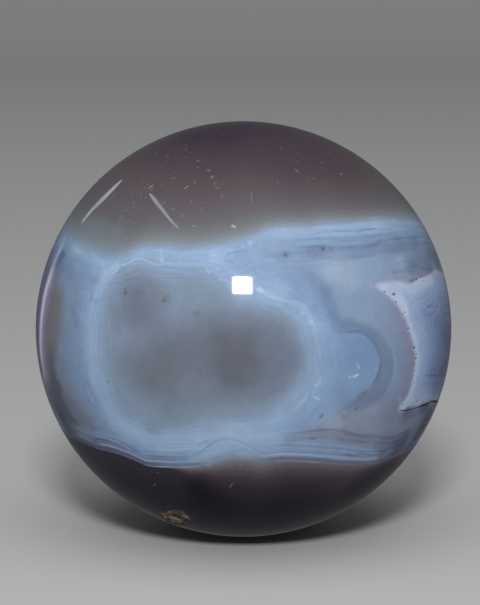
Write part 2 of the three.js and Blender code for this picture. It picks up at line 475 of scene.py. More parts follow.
# The window's rim and its grey inside, by depth from the window's outline.
WINDOW_RIM = [
    (-6.5, (130, 153, 187), 0), (-4.5, (137, 161, 195), 0.8), (-3, (143, 169, 202), 1),
    (-1.6, (147, 172, 202), 1), (-0.6, (142, 165, 193), 1), (0.5, (135, 155, 180), 1),
    (1.5, (131, 149, 171), 1), (2.6, (128, 145, 165), 1), (6, (127, 143, 163), 1)]

# How fast the two caps' colours change with distance from their wall, by bearing in degrees.
TOP_RATE = [
    (-90, 0.7), (-56, 0.68), (-42, 0.68), (-34, 0.85), (-25, 0.95), (0, 1), (10, 1.25), (20, 1.35),
    (45, 1.4), (60, 1.35), (80, 1.05)]
BOTTOM_RATE = [
    (-90, 4), (-60, 5), (-24, 4.5), (-18, 3.6), (-13, 2.6), (-9, 1.55), (-4, 1.1), (0, 1), (8, 1.05),
    (18, 1.3), (38, 1.4), (44, 2.3), (50, 2.7), (60, 3.4), (90, 2.5)]
# How far in mm the lower cap's colours are ahead near the wall, by bearing.
BOTTOM_AHEAD = [(4, 0), (14, 1), (42, 1), (52, 2.2), (90, 2)]
# How much the clouds change the two caps' rates.
TOP_DRIFT = 0.06
BOTTOM_DRIFT = 0.08
# The lower bands run closer together by this share towards the right, between these bearings.
SQUEEZE = 0.18
SQUEEZED = (30, 44)
# How far the bands sway with the ripple.
SWAY = 0.3

# Strokes: (colour, half width mm, soft edge mm, cover, points of the photograph's frame).

THREADS = [
    # Bright hairlines over the lower wall's left end, and the wall's own pale edge there.
    ((142, 152, 176), 0.08, 0.26, 0.85, [(91, 437.2), (99, 437.4), (107, 438.6)]),
    ((158, 172, 198), 0.08, 0.28, 0.9, [(112, 440.6), (117, 441.9), (121, 444)]),
    ((158, 172, 199), 0.08, 0.28, 0.9, [(121.5, 445), (126, 446.8), (132, 449.3)]),
    ((132, 132, 146), 0.05, 0.25, 0.8, [(93, 447), (98, 448.4), (104, 449.9), (110, 451.3), (116, 452.6),
        (121, 454.1), (128, 456.8), (134, 459.3), (140, 462), (147, 465.4)]),
    # Wisps from the left-hand cell's tip to the window's corner.
    ((170, 193, 220), 0.06, 0.35, 0.4, [(70, 243), (76, 249), (82, 252), (88, 258)]),
    ((168, 191, 218), 0.08, 0.5, 0.32, [(73, 247), (80, 254), (86, 259), (93, 261)]),
    ((166, 189, 217), 0.3, 1.6, 0.35, [(72, 243), (84, 252), (97, 260), (106, 268)]),
    ((172, 195, 221), 0.08, 0.5, 0.32, [(88, 252), (95, 257), (101, 263), (104, 271), (101, 281),
        (96, 292)]),
    ((172, 195, 222), 0.08, 0.3, 0.5, [(118.5, 263.5), (117.8, 269), (112, 274)]),
    ((170, 193, 220), 0.08, 0.35, 0.3, [(96, 261), (104, 263), (112, 264)]),
    ((166, 190, 218), 0.4, 1.2, 0.55, [(121, 262), (114, 268), (108, 275), (103, 282), (98, 292),
        (95, 302)]),
    ((150, 176, 206), 0.6, 1.6, 0.4, [(84, 256), (92, 262), (98, 270)]),
    ((118, 130, 146), 1.5, 2.5, 0.4, [(75, 228), (90, 234), (110, 240), (130, 240)]),
    # The bright thread over the window, and the pale one that goes on to the upper wall.
    ((184, 205, 229), 0.04, 0.28, 0.5, [(118, 265), (124, 264.5), (129, 262.5), (133, 259.8), (138, 258.5),
        (142, 259), (150, 262), (158, 265), (165, 263), (174, 259.5)]),
    ((166, 190, 219), 0.2, 1.2, 0.2, [(128, 258), (140, 255), (152, 252), (165, 254), (180, 256),
        (200, 255)]),
    ((168, 191, 219), 0.1, 0.6, 0.2, [(165, 262), (177, 257), (190, 253), (205, 251.5), (220, 250)]),
    ((168, 191, 219), 0.06, 0.35, 0.3, [(226, 251.5), (236, 249.5), (244, 248.5), (254, 247.5)]),
    ((168, 190, 217), 0.08, 0.45, 0.3, [(242, 247.5), (252, 243.5), (262, 239), (270, 233.5)]),
    ((188, 207, 229), 0.16, 0.25, 0.55, [(241.5, 247.5), (243.5, 246)]),
    ((190, 209, 231), 0.14, 0.28, 0.65, [(249.4, 245.5), (250.2, 243), (251.6, 240.6)]),
    # Feathers down the window's right-hand rim.
    ((172, 194, 221), 0.05, 0.45, 0.5, [(254, 287.5), (262, 291), (270, 296), (278, 299.5), (287, 301)]),
    ((168, 191, 219), 0.05, 0.45, 0.35, [(257, 296), (266, 301), (274, 304), (284, 304.5)]),
    ((166, 190, 219), 0.06, 0.6, 0.35, [(284, 300), (294, 303), (303, 308), (309, 314), (313, 322)]),
    ((170, 193, 221), 0.05, 0.4, 0.3, [(292, 300), (301, 303.5), (309, 309)]),
    ((166, 189, 218), 0.05, 0.5, 0.22, [(306, 311), (312, 324), (316, 334), (319, 350), (320, 366),
        (319, 380), (314, 394), (307, 404)]),
    ((182, 203, 228), 0.14, 0.35, 0.55, [(308, 321.5), (310.5, 322.5), (313, 321.5)]),
    ((178, 200, 226), 0.1, 0.35, 0.45, [(301.5, 312), (304, 314.5)]),
    ((180, 201, 226), 0.04, 0.25, 0.55, [(314, 386), (318, 384), (321, 377)]),
    ((180, 201, 226), 0.04, 0.25, 0.5, [(314, 396), (317.5, 399), (321, 398.5)]),
    ((190, 209, 231), 0.28, 0.4, 0.55, [(256.5, 289.5), (259.5, 290), (262.5, 292.5)]),
    ((170, 193, 220), 0.05, 0.3, 0.4, [(288, 412), (297, 407), (304, 400), (309, 391)]),
    # The broad milky left-hand rim.
    ((160, 184, 214), 0.2, 1.2, 0.3, [(76, 312), (84, 318), (90, 330), (92, 345), (95, 358), (92, 372),
        (95, 388), (103, 402), (112, 414), (124, 426)]),
    ((168, 191, 219), 0.05, 0.35, 0.4, [(86, 388), (90, 396), (95, 404)]),
    ((166, 190, 218), 0.05, 0.4, 0.35, [(99, 286), (94, 300), (91, 312), (90, 326)]),
    # Short stray ticks.
    ((186, 207, 231), 0.04, 0.2, 0.4, [(160, 248), (161.5, 254), (161.8, 260)]),
    ((190, 210, 232), 0.12, 0.28, 0.6, [(161.5, 258), (161.7, 262)]),
    ((180, 200, 224), 0.03, 0.18, 0.55, [(205, 266), (207.5, 270.5), (209.5, 275.5)]),
    ((172, 194, 220), 0.08, 0.4, 0.45, [(371, 227.5), (374, 226), (377.5, 227)]),
    ((178, 200, 225), 0.05, 0.2, 0.45, [(377, 223.5), (377.3, 229)]),
    # Feathers in the blue eye and on its ring.
    ((188, 207, 227), 0.06, 0.24, 0.75, [(352.6, 377.2), (355.5, 375.8), (359, 374.2)]),
    ((182, 202, 225), 0.06, 0.24, 0.6, [(349.2, 376.2), (351, 377.8)]),
    ((178, 198, 223), 0.05, 0.26, 0.5, [(356.5, 362.5), (358.6, 366), (360, 369)]),
    ((176, 197, 222), 0.04, 0.26, 0.35, [(374.5, 371.5), (377.5, 367)]),
    ((150, 176, 206), 0.08, 0.6, 0.35, [(340, 359), (345, 352.5), (352, 349), (359, 348)]),
    ((152, 172, 198), 0.06, 0.45, 0.5, [(392, 345), (394.5, 356), (395, 367), (393, 378), (388, 389),
        (382, 399)]),
    # Milky humps near the lower wall.
    ((158, 182, 208), 0.7, 1.3, 0.45, [(186, 461.5), (198, 458), (210, 451), (220, 445.5), (229, 443.5),
        (238, 447), (248, 451.5), (259, 456.5)]),
    ((172, 194, 219), 0.08, 0.4, 0.5, [(150, 449), (165, 450.5), (180, 449.5), (192, 446), (203, 440),
        (215, 435.5), (228, 433.5), (242, 436)]),
    ((176, 198, 222), 0.06, 0.35, 0.45, [(236, 443), (246, 447), (256, 452), (264, 455)]),
    ((174, 196, 221), 0.1, 0.35, 0.45, [(204, 462), (207, 464), (210, 463)]),
    # Level threads under the upper wall.
    ((168, 190, 217), 0.1, 0.5, 0.4, [(268, 228.5), (290, 229), (320, 227.5), (340, 226.5), (360, 224),
        (385, 221), (405, 219.5)]),
    ((160, 183, 212), 0.1, 0.5, 0.35, [(262, 238), (290, 235), (320, 234.5), (350, 234), (368, 231),
        (390, 226.5), (412, 225)]),
    ((150, 162, 176), 0.05, 0.25, 0.45, [(366, 218.5), (374, 217.6), (382, 217)]),
    # The right-hand cell's white corners.
    ((192, 207, 230), 0.6, 0.9, 0.75, [(378, 285.5), (388, 289), (397, 295), (404, 306), (409, 316)]),
    ((166, 186, 218), 0.8, 1.5, 0.5, [(407, 292), (413, 302), (416, 314)]),
    ((142, 158, 196), 1.2, 2.2, 0.6, [(424, 296), (432, 300), (440, 306)]),
    ((186, 201, 227), 0.7, 1, 0.7, [(392, 287), (402, 287.5), (413, 286), (424, 282.5), (434, 277)]),
    ((178, 192, 220), 0.3, 0.9, 0.45, [(402, 404), (408, 402), (416, 399)]),
    ((168, 174, 196), 0.12, 0.6, 0.5, [(368, 286.8), (376, 285.2), (386, 284.2)]),
    ((172, 178, 194), 0.1, 0.6, 0.45, [(382, 282), (390, 281), (398, 281.5)]),
    ((172, 182, 206), 0.1, 0.6, 0.4, [(397, 396), (401, 401.5), (404, 406)]),
    # The left-hand cell's upper edge, whose bright threads are a painted reflection of a strip light along
    # the left rim, and the colours beside it.
    ((132, 140, 184), 0.6, 1.1, 0.7, [(62, 232), (57.5, 242), (53.4, 253), (49, 265)]),
    ((166, 194, 230), 0.3, 0.55, 0.9, [(68, 231.5), (63.8, 240.5), (60.6, 248.5), (57, 256.5),
        (53.8, 264.5), (50.8, 273)]),
    ((204, 214, 246), 0.3, 0.7, 0.8, [(53.6, 265), (51, 272.5), (48.7, 280.5), (46.6, 288.5)]),
    ((120, 154, 182), 0.7, 1.1, 0.35, [(62, 343), (62, 350), (62.5, 358)]),
    ((130, 144, 168), 1.2, 1.6, 0.6, [(68, 293), (71, 300), (73, 308)]),
    ((122, 142, 150), 0.3, 0.9, 0.3, [(66, 322), (68, 332), (71, 342)]),
]
# Wide soft shades that stay within the belt.
SHADES = [
    # Above the lower wall's two ends.
    # Painted shade: these two darken the belt towards the lower left-hand rim.
    ((74, 80, 103), 1.6, 2.4, 0.85, [(58, 408), (65, 423), (72, 434), (82, 446)]),
    ((96, 103, 124), 1.2, 2.2, 0.65, [(64, 418), (72, 427), (82, 437), (92, 445), (104, 450)]),
    ((136, 148, 169), 0.5, 1.2, 0.75, [(62, 388), (66, 400), (71, 409), (76, 415), (84, 425), (92, 433),
        (100, 439)]),
    # Painted shade: these two darken the belt towards the lower right-hand rim.
    ((92, 98, 122), 2.8, 2, 0.9, [(372, 464), (386, 458), (399, 450), (410, 440), (419, 429), (427, 416),
        (434, 402)]),
    ((66, 73, 102), 1.2, 2, 0.85, [(398, 458), (407, 450), (414, 441), (420, 432), (425, 423), (430, 412),
        (433, 402)]),
    ((106, 116, 142), 1, 1.6, 0.45, [(374, 441), (384, 443), (392, 447)]),
    ((78, 84, 108), 0.7, 1.1, 0.8, [(402, 413), (412, 411.5), (421, 409.5), (431, 405.5)]),
    # Painted shade inside the right-hand cell's far end, towards the rim; then a darker strip beside the
    # left-hand cell.
    ((118, 122, 152), 1, 1.6, 0.5, [(441, 372), (438, 384), (435, 394), (430, 403)]),
    ((92, 107, 136), 1, 1.6, 0.75, [(66, 250), (61, 260), (60, 269), (61, 278)]),
    # Between the window and the left-hand strip.
    ((126, 150, 185), 0.7, 1.3, 0.85, [(92, 277), (94.5, 286), (95, 293), (93, 304)]),
    ((152, 179, 210), 0.1, 0.6, 0.5, [(92, 269), (98, 272), (105, 276)]),
    # Under the upper wall, and at the blue body's shoulder.
    ((118, 134, 162), 0.5, 1.1, 0.75, [(300, 254), (322, 253), (344, 253), (362, 251.5), (380, 248.5)]),
    ((144, 168, 197), 0.4, 1, 0.5, [(294, 243.5), (312, 243), (334, 243.3)]),
    ((166, 191, 220), 0.6, 1.4, 0.5, [(208, 255), (222, 254), (236, 252)]),
    ((106, 126, 158), 0.35, 1.1, 0.55, [(329, 308), (334, 318), (338, 327), (344, 331)]),
    ((126, 142, 166), 0.6, 1.5, 0.45, [(330, 284), (338, 289), (345, 296)]),
    # Paler places beside the window's lower right side and over the lower wall.
    ((144, 171, 203), 0.9, 1.8, 0.6, [(321, 362), (321.5, 374), (320, 388)]),
    ((168, 193, 222), 0.9, 1.6, 0.55, [(214, 432), (228, 432), (240, 434), (253, 437)]),
    ((160, 186, 217), 1.2, 1.5, 0.5, [(246, 441), (260, 443), (274, 443), (288, 442)]),
    ((152, 172, 196), 0.6, 1.4, 0.45, [(198, 424), (211, 423), (224, 420)]),
    # Right of the window's corner, and under the upper wall's far end.
    ((122, 148, 182), 0.3, 1.2, 0.5, [(312, 305), (318, 314), (322, 324)]),
    ((100, 117, 146), 0.3, 1.1, 0.4, [(376, 251), (388, 250), (400, 248.7), (412, 247), (430, 243)]),
]
SEAMS = [
    # Under the upper wall.
    ((112, 132, 164), 0.05, 0.28, 0.6, [(224, 256), (230, 253), (241.5, 251), (250, 248.5), (257, 246)]),
    ((122, 140, 168), 0.08, 0.4, 0.2, [(252, 243), (262, 238.5), (270, 234)]),
    ((118, 139, 171), 0.05, 0.32, 0.5, [(224, 259), (233, 264), (241, 271)]),
    ((104, 122, 156), 0.12, 0.45, 0.7, [(284, 251.5), (292, 249.5), (300, 248), (320, 246.5), (340, 247.5),
        (350, 247.5), (365, 246.5), (375, 244), (385, 240.5), (400, 238), (412, 237.5), (425, 236)]),
    ((114, 131, 161), 0.08, 0.4, 0.55, [(308, 259), (318, 258.2), (330, 257.5), (338, 260.5), (352, 257),
        (365, 256.5), (372, 255), (381, 252), (395, 250.5), (410, 247.5), (424, 244)]),
    ((118, 139, 171), 0.06, 0.35, 0.5, [(262, 244), (275, 241.5), (290, 240), (320, 238.8), (345, 239.5),
        (365, 238), (385, 233.5), (405, 231), (422, 229)]),
    ((110, 131, 163), 0.04, 0.22, 0.6, [(330, 231.5), (345, 231), (358, 231.8), (364, 230), (372, 229),
        (382, 227.5)]),
    ((110, 131, 163), 0.04, 0.2, 0.6, [(378, 233.8), (386, 234.6), (393, 233.6)]),
    ((112, 133, 165), 0.04, 0.22, 0.55, [(390, 226), (402, 225.3), (413, 225.4)]),
    ((112, 133, 165), 0.04, 0.22, 0.5, [(336, 240), (347, 240.8), (358, 240)]),
    ((106, 122, 155), 0.3, 1.4, 0.35, [(392, 243), (406, 241.5), (420, 241)]),
    ((96, 98, 124), 0.08, 0.4, 0.65, [(404, 281), (411, 280.5), (417, 277.5), (424, 274.8), (433, 270.5)]),
    # The dark edge of the blue body and of its eye.
    ((100, 120, 156), 0.35, 1.5, 0.48, [(296, 266), (304, 270), (313, 280), (322, 291), (330, 304),
        (336, 316), (340, 327)]),
    ((94, 114, 150), 0.11, 0.48, 0.72, [(340, 328.5), (344, 331.8), (350, 331.5), (361, 331.8), (369, 337),
        (375, 344), (379, 353), (380.5, 362), (379, 372), (375, 381), (369, 388.5)]),
    ((104, 122, 150), 0.2, 0.75, 0.6, [(369, 388.5), (361, 396), (353, 403), (344, 409)]),
    ((106, 122, 152), 0.08, 0.4, 0.35, [(347, 325), (358, 326), (370, 331), (379, 340)]),
    # Hairlines over the lower wall's left end.
    ((86, 98, 126), 0.07, 0.28, 0.8, [(86, 438.3), (94, 439.2), (102, 439.5), (108, 440.6), (113, 442.6),
        (118, 444.6), (124, 447.2), (130, 450)]),
    ((92, 102, 128), 0.06, 0.25, 0.7, [(90, 441.2), (98, 442), (106, 443), (112, 444.4), (118, 446.6),
        (125, 449.6)]),
    ((100, 114, 144), 0.08, 0.32, 0.65, [(110, 438.5), (118, 441), (126, 445), (134, 449.5), (141, 453)]),
    # The grey lip between the two ends of the lower wall.
    ((112, 123, 143), 0.28, 0.4, 0.85, [(168, 464.8), (180, 465.1), (190, 465), (200, 464.2),
        (211, 462.6)]),
    ((112, 118, 134), 0.1, 0.32, 0.7, [(168, 467.5), (182, 467.7), (192, 467.2), (206, 465.6)]),
    # The hump over the lower wall, and the lines to its right.
    ((116, 138, 168), 0.05, 0.32, 0.45, [(180, 459.5), (188, 458), (194, 455), (200, 452.5), (207, 447),
        (213, 442.5), (220, 439.5), (228, 438.5), (234, 439.5), (240, 441.5), (248, 445.5), (256, 450),
        (262, 453), (270, 456)]),
    ((104, 118, 146), 0.02, 0.2, 0.6, [(148, 455.6), (162, 456.8), (178, 457), (192, 455)]),
    ((104, 118, 146), 0.02, 0.2, 0.55, [(146, 457.4), (160, 459.4), (176, 459.6), (190, 458.6)]),
    ((170, 180, 200), 0.03, 0.22, 0.55, [(142, 463.6), (153, 466.2), (166, 466.8), (184, 467.2),
        (204, 465.4)]),
    ((120, 142, 172), 0.06, 0.35, 0.2, [(196, 447), (204, 441.5), (212, 437.5), (222, 435)]),
    ((94, 101, 124), 0.1, 0.38, 0.7, [(283, 440), (289, 434.5), (300, 432.5), (315, 430.5), (333, 429.5),
        (343, 431), (350, 433.5), (362, 436), (375, 436), (383, 438), (392, 438), (400, 434.5), (408, 430),
        (420, 423)]),
    ((120, 130, 156), 0.3, 1, 0.35, [(290, 437), (310, 434), (333, 433), (350, 437), (375, 439.5),
        (395, 440), (410, 433)]),
    ((116, 126, 152), 0.5, 1, 0.4, [(334, 438), (350, 439), (365, 439.5), (380, 441)]),
    ((104, 114, 138), 0.06, 0.3, 0.6, [(333, 436.5), (345, 439.5), (358, 441.5), (372, 441.5)]),
    ((100, 110, 134), 0.06, 0.3, 0.6, [(372, 443), (386, 443), (396, 440), (408, 433.5)]),
    ((104, 116, 142), 0.06, 0.28, 0.5, [(285, 440.5), (300, 439), (318, 437), (330, 437)]),
    ((92, 110, 132), 0.1, 0.32, 0.7, [(309, 438), (313, 438.6), (317, 438.2)]),
    ((108, 118, 146), 0.8, 1.6, 0.4, [(400, 416), (410, 414.5), (420, 411)]),
    ((116, 124, 154), 0.3, 1, 0.4, [(396, 419), (404, 420), (414, 416)]),
    # Fine dark lines above the lower wall's two ends.
    ((76, 84, 106), 0.05, 0.3, 0.6, [(386, 447), (395, 442), (404, 437), (412, 430)]),
    ((78, 86, 108), 0.05, 0.3, 0.6, [(376, 452), (388, 449.6), (398, 445), (406, 440)]),
    ((74, 82, 104), 0.05, 0.3, 0.6, [(382, 457), (391, 454), (400, 449.6)]),
    ((84, 94, 116), 0.03, 0.22, 0.6, [(338, 455.6), (346, 454.4), (354, 455.4), (362, 453.6), (370, 455),
        (380, 453.4)]),
    ((104, 108, 124), 0.25, 0.5, 0.35, [(268, 458.4), (284, 458.2), (302, 458.6), (322, 460)]),
    ((176, 170, 186), 0.04, 0.26, 0.35, [(272, 461), (290, 460.6), (306, 461.4), (322, 462.4)]),
    ((100, 109, 132), 0.1, 0.4, 0.5, [(66, 420), (75, 418.5), (82, 422), (90, 427), (98, 431)]),
    ((96, 105, 128), 0.1, 0.32, 0.6, [(64, 429), (72, 430), (80, 431.5), (89, 434.5), (98, 438),
        (108, 441)]),
    ((98, 105, 128), 0.1, 0.32, 0.6, [(68, 436), (76, 436.6), (84, 438.6), (93, 441.6), (103, 445)]),
    ((100, 106, 124), 0.06, 0.28, 0.4, [(66, 426), (74, 425), (84, 428.5), (96, 433)]),
    ((116, 138, 172), 0.08, 0.35, 0.4, [(92, 437), (104, 438), (116, 441), (128, 447), (138, 452)]),
    # Shade beside the left-hand patch.
    ((108, 130, 164), 0.5, 1.5, 0.5, [(62, 256), (67, 264), (71, 274), (74, 285)]),
    ((104, 112, 136), 0.2, 0.9, 0.4, [(70, 305), (75, 318), (78, 330)]),
    # In and above the right-hand cell.
    ((74, 88, 130), 0.05, 0.25, 0.6, [(426, 307.5), (430, 306), (434, 307), (439, 305)]),
    ((110, 128, 168), 0.05, 0.25, 0.5, [(425, 315), (431, 314), (438, 315)]),
    ((66, 78, 116), 0.05, 0.22, 0.7, [(424, 375), (431, 375.6), (439, 375)]),
    ((98, 114, 146), 0.8, 2.2, 0.55, [(402, 268), (412, 265.5), (424, 262), (434, 259), (446, 254)]),
    ((98, 114, 146), 0.9, 2.2, 0.65, [(417, 264), (425, 261.7), (434, 259), (446, 254)]),
    ((100, 116, 150), 0.08, 0.4, 0.55, [(391, 273), (399, 271.4), (407, 271), (415, 272.4)]),
    ((102, 116, 146), 0.06, 0.35, 0.45, [(403, 267.5), (411, 266.5), (420, 264.5)]),
    ((96, 106, 134), 0.1, 0.4, 0.55, [(419, 268), (428, 269.5), (436, 269)]),
    ((142, 134, 154), 0.3, 1.1, 0.25, [(399, 277.5), (410, 275.5), (420, 272), (428, 268)]),
    ((112, 112, 132), 0.1, 0.4, 0.5, [(399, 280.6), (404, 282.2), (410, 282), (416, 279.6)]),
]
# Specks in the stone: (across, down, radius mm, colour, cover).
SPECKS = [
    (125.4, 293, 0.34, (82, 76, 86), 0.7), (124.8, 289.4, 0.34, (106, 106, 112), 0.5),
    (124.9, 299, 0.4, (118, 118, 130), 0.35), (164.4, 300.4, 0.3, (84, 78, 84), 0.75),
    (164.6, 299, 0.8, (116, 110, 116), 0.45), (168, 297, 0.5, (114, 112, 118), 0.35),
    (196.4, 313.6, 0.6, (104, 106, 116), 0.5), (108.7, 381.3, 0.26, (90, 106, 124), 0.6),
    (285.4, 254.9, 0.3, (70, 80, 84), 0.85), (285.6, 254.4, 0.75, (104, 120, 132), 0.5),
    (323.2, 248.6, 0.32, (72, 86, 88), 0.8), (322.6, 247.8, 0.6, (96, 112, 120), 0.5),
    (331, 249.3, 0.34, (98, 116, 140), 0.6), (351.6, 247.4, 0.3, (98, 116, 144), 0.6),
    (320.8, 417, 0.34, (90, 102, 112), 0.7), (322.4, 414.8, 0.26, (94, 106, 116), 0.6),
    (356.6, 408.8, 0.3, (82, 96, 112), 0.7), (344, 416, 0.4, (116, 126, 146), 0.5),
    (386, 363, 0.35, (98, 114, 140), 0.45), (397.6, 259.4, 0.36, (166, 182, 204), 0.6),
    (400.4, 258.2, 0.3, (164, 180, 203), 0.5), (70.5, 341.5, 0.26, (96, 112, 134), 0.5),
    (82.4, 352, 0.22, (88, 106, 140), 0.6), (56.8, 377.5, 0.22, (164, 174, 182), 0.6),
    (43, 343, 0.2, (96, 88, 118), 0.6), (345, 412.5, 0.34, (164, 180, 198), 0.5),
    (71, 238, 0.3, (176, 196, 218), 0.4), (83, 253, 0.26, (172, 194, 220), 0.4),
    (219.6, 279.6, 0.14, (176, 196, 218), 0.5), (139, 340, 0.14, (150, 162, 180), 0.4),
    (204, 280, 0.4, (124, 144, 172), 0.4)]
# Scuffs, dust and lint on the polish: (across, down, radius mm, cover), all pale.
SCUFF_COLOUR = (186, 182, 186)
SCUFFS = [
    (186, 145, 0.14, 0.7), (187, 148, 0.12, 0.5), (157, 152.5, 0.14, 0.7), (191, 152.5, 0.16, 0.3),
    (168, 157, 0.16, 0.3), (162.5, 167, 0.12, 0.5), (176, 171.5, 0.16, 0.3), (172.5, 178, 0.13, 0.6),
    (197, 160.5, 0.15, 0.4), (197.5, 167.5, 0.14, 0.4), (208, 170, 0.18, 0.4), (212, 176.5, 0.22, 0.25),
    (216, 187, 0.16, 0.25), (222, 184, 0.15, 0.25), (221.5, 195, 0.17, 0.25), (143.5, 181.5, 0.12, 0.6),
    (147.5, 184.5, 0.13, 0.5), (140.5, 194.5, 0.13, 0.6), (131.5, 194.8, 0.15, 0.25),
    (146, 197.5, 0.12, 0.6), (133.5, 202.5, 0.13, 0.6), (126, 210.5, 0.12, 0.5), (119.5, 221.5, 0.15, 0.5),
    (129, 220.5, 0.13, 0.3), (133, 222.5, 0.13, 0.4), (164, 202.5, 0.18, 0.4), (161.5, 185.5, 0.12, 0.4),
    (191, 201, 0.17, 0.25), (182, 216, 0.17, 0.45), (186.5, 214.5, 0.14, 0.25), (193.5, 226, 0.18, 0.45),
    (232.6, 226, 0.25, 0.9), (234.6, 226.8, 0.25, 0.9), (126.5, 239.5, 0.14, 0.5), (111, 232, 0.14, 0.3),
    (251, 220, 0.16, 0.3), (286.5, 128.5, 0.13, 0.8), (304.5, 130.5, 0.13, 0.5), (329, 140.5, 0.14, 0.7),
    (277, 137, 0.13, 0.3), (281, 148.5, 0.18, 0.3), (292, 146, 0.17, 0.2), (298.5, 152.5, 0.16, 0.3),
    (321.5, 162, 0.17, 0.35), (323, 168, 0.18, 0.3), (341.5, 174, 0.17, 0.85), (277.5, 182, 0.17, 0.3),
    (313.5, 178.5, 0.14, 0.5), (309, 181, 0.15, 0.3), (326.5, 183, 0.16, 0.2), (358, 157.5, 0.14, 0.7),
    (376.5, 174, 0.14, 0.5), (358, 207.5, 0.16, 0.3), (404, 215.5, 0.14, 0.6), (260.5, 228.5, 0.13, 0.4),
    (222, 135, 0.17, 0.2), (196, 126.5, 0.13, 0.5), (240.3, 465, 0.14, 0.6), (157.5, 472.5, 0.14, 0.4),
    (142, 484, 0.15, 0.18), (190, 488, 0.13, 0.18), (279, 466.5, 0.18, 0.2), (448, 360, 0.15, 0.9),
    (137, 192, 0.12, 0.4), (141.5, 192.5, 0.1, 0.4), (145, 187.5, 0.1, 0.5), (141, 184, 0.1, 0.45),
    (133.5, 207, 0.12, 0.3), (139, 209, 0.11, 0.25), (128.5, 214, 0.11, 0.25), (132, 186, 0.14, 0.2),
    (141.3, 178, 0.11, 0.45), (153, 176, 0.15, 0.2), (175, 177.5, 0.11, 0.4), (186, 157.5, 0.12, 0.35),
    (199, 161, 0.3, 0.16), (209, 170.5, 0.32, 0.16), (212, 177, 0.38, 0.18), (215, 183, 0.42, 0.12),
    (218, 188, 0.36, 0.12), (222.5, 197, 0.26, 0.12), (167, 156, 0.3, 0.12), (202, 208, 0.32, 0.1),
    (173, 209, 0.34, 0.1), (184.5, 150, 0.44, 0.08)]
SCUFF_STROKES = [
    (0.03, 0.12, 0.4, [(184.2, 189), (186.5, 187), (189, 185.5)]),
    (0.02, 0.1, 0.35, [(193, 183.5), (196.5, 181)]),
    (0.03, 0.12, 0.45, [(294.3, 169), (296.5, 170.5), (299, 173)]),
    (0.02, 0.12, 0.12, [(293, 161.5), (297, 161.4), (301, 161.6)]),
    (0.02, 0.12, 0.25, [(325, 153), (327.5, 154), (330, 152.5)]),
    (0.02, 0.12, 0.25, [(131.5, 205.5), (133, 203.5)]),
    (0.02, 0.14, 0.2, [(119, 222), (121.5, 218), (123, 214)]),
    (0.02, 0.16, 0.12, [(251, 190), (251.5, 198), (252, 206)]),
    (0.03, 0.12, 0.55, [(111.5, 197.5), (113.3, 195.2), (115, 193)]),
    (0.03, 0.11, 0.6, [(148, 189), (150.8, 186.8), (153.6, 184.4)]),
    (0.02, 0.1, 0.25, [(149.5, 190.8), (152.2, 188.8), (154.8, 186.6)]),
    (0.02, 0.1, 0.2, [(151.5, 191.5), (153.6, 189.6)]),
    (0.03, 0.12, 0.22, [(229.5, 488.5), (231, 485.5), (233.5, 482)]),
    (0.02, 0.12, 0.2, [(153.5, 487), (155.5, 483)]),
]
PIT_COLOUR = (58, 62, 80)
PIT_RIM = (190, 203, 226)
CELL_PITS = [
    (385, 291.8, 0.24, 0.6), (394.2, 294.2, 0.28, 0.9), (390.5, 296.5, 0.16, 0.3),
    (396.2, 302.3, 0.22, 0.65), (405, 312.6, 0.2, 0.6), (402.8, 314.8, 0.22, 0.6),
    (408.6, 328.6, 0.28, 0.65), (414.4, 347.6, 0.28, 0.85), (416.8, 354.3, 0.14, 0.6),
    (416.2, 358.4, 0.26, 0.85), (414.6, 366.4, 0.22, 0.45), (414.8, 371.3, 0.22, 0.5),
    (413.6, 376.4, 0.16, 0.35), (414.4, 383.8, 0.2, 0.45), (417.6, 401.2, 0.3, 0.65),
    (413, 403.6, 0.2, 0.55), (403.4, 405, 0.2, 0.5), (416.8, 279, 0.3, 0.85), (425.2, 276.6, 0.2, 0.6),
    (424.2, 280.6, 0.2, 0.6), (431, 273.6, 0.22, 0.6), (428, 272, 0.18, 0.5), (405.8, 280.6, 0.16, 0.3)]
# The photographed scuffs' radii are scaled by this; the far side's scuffs are scattered within
# these bearings and rises in degrees, radii in mm and covers.
SCUFF_SCALE = 0.85
FAR_SCUFFS = 46
FAR_SCUFF_AREA = ((105, -60), (255, 80))
FAR_SCUFF_RADII = (0.1, 0.22)
FAR_SCUFF_COVERS = (0.15, 0.5)
SPOT_SEED = 51
# Strokes narrow to this share of their width, and fade over this share of their length.
STROKE_TIP = 0.35
STROKE_FADE = 0.12
# How strongly strokes are laid on the whole, and within which limits that varies.
STROKE_COVER = 0.8
STROKE_LIMITS = (0.35, 1.15)
# How far beyond a stroke, in mm, its distances are still worked out.
SPARE = 1.0

# Random clouds, as layers of (amount, size in mm, seed). They warp the window's outlines, ripple
# the bands, mist the soft colours, make the caps' bands drift and the strokes thin, and roughen
# the chip's edge and grain.
WARP = [(0.28, 4.5, 6), (0.13, 1.8, 7)]
RIPPLE = [(0.20, 5.0, 3), (0.10, 2.2, 4)]
MIST = [(1, 7.0, 12)]
CAP_DRIFT = [(1, 16.0, 11)]
STROKE_WEAR = [(0.40, 3.0, 21)]
CHIP_ROUGH = [(0.16, 2.4, 31), (0.10, 1.1, 32)]
CHIP_GRAIN = [(1, 1.1, 34), (0.8, 0.6, 35)]
# How far out, in mm, the depth inside the body, the eye and its ring, and the patch is followed.
BODY_REACH = 10.0
EYE_REACH = 8.0
PATCH_REACH = 6.0

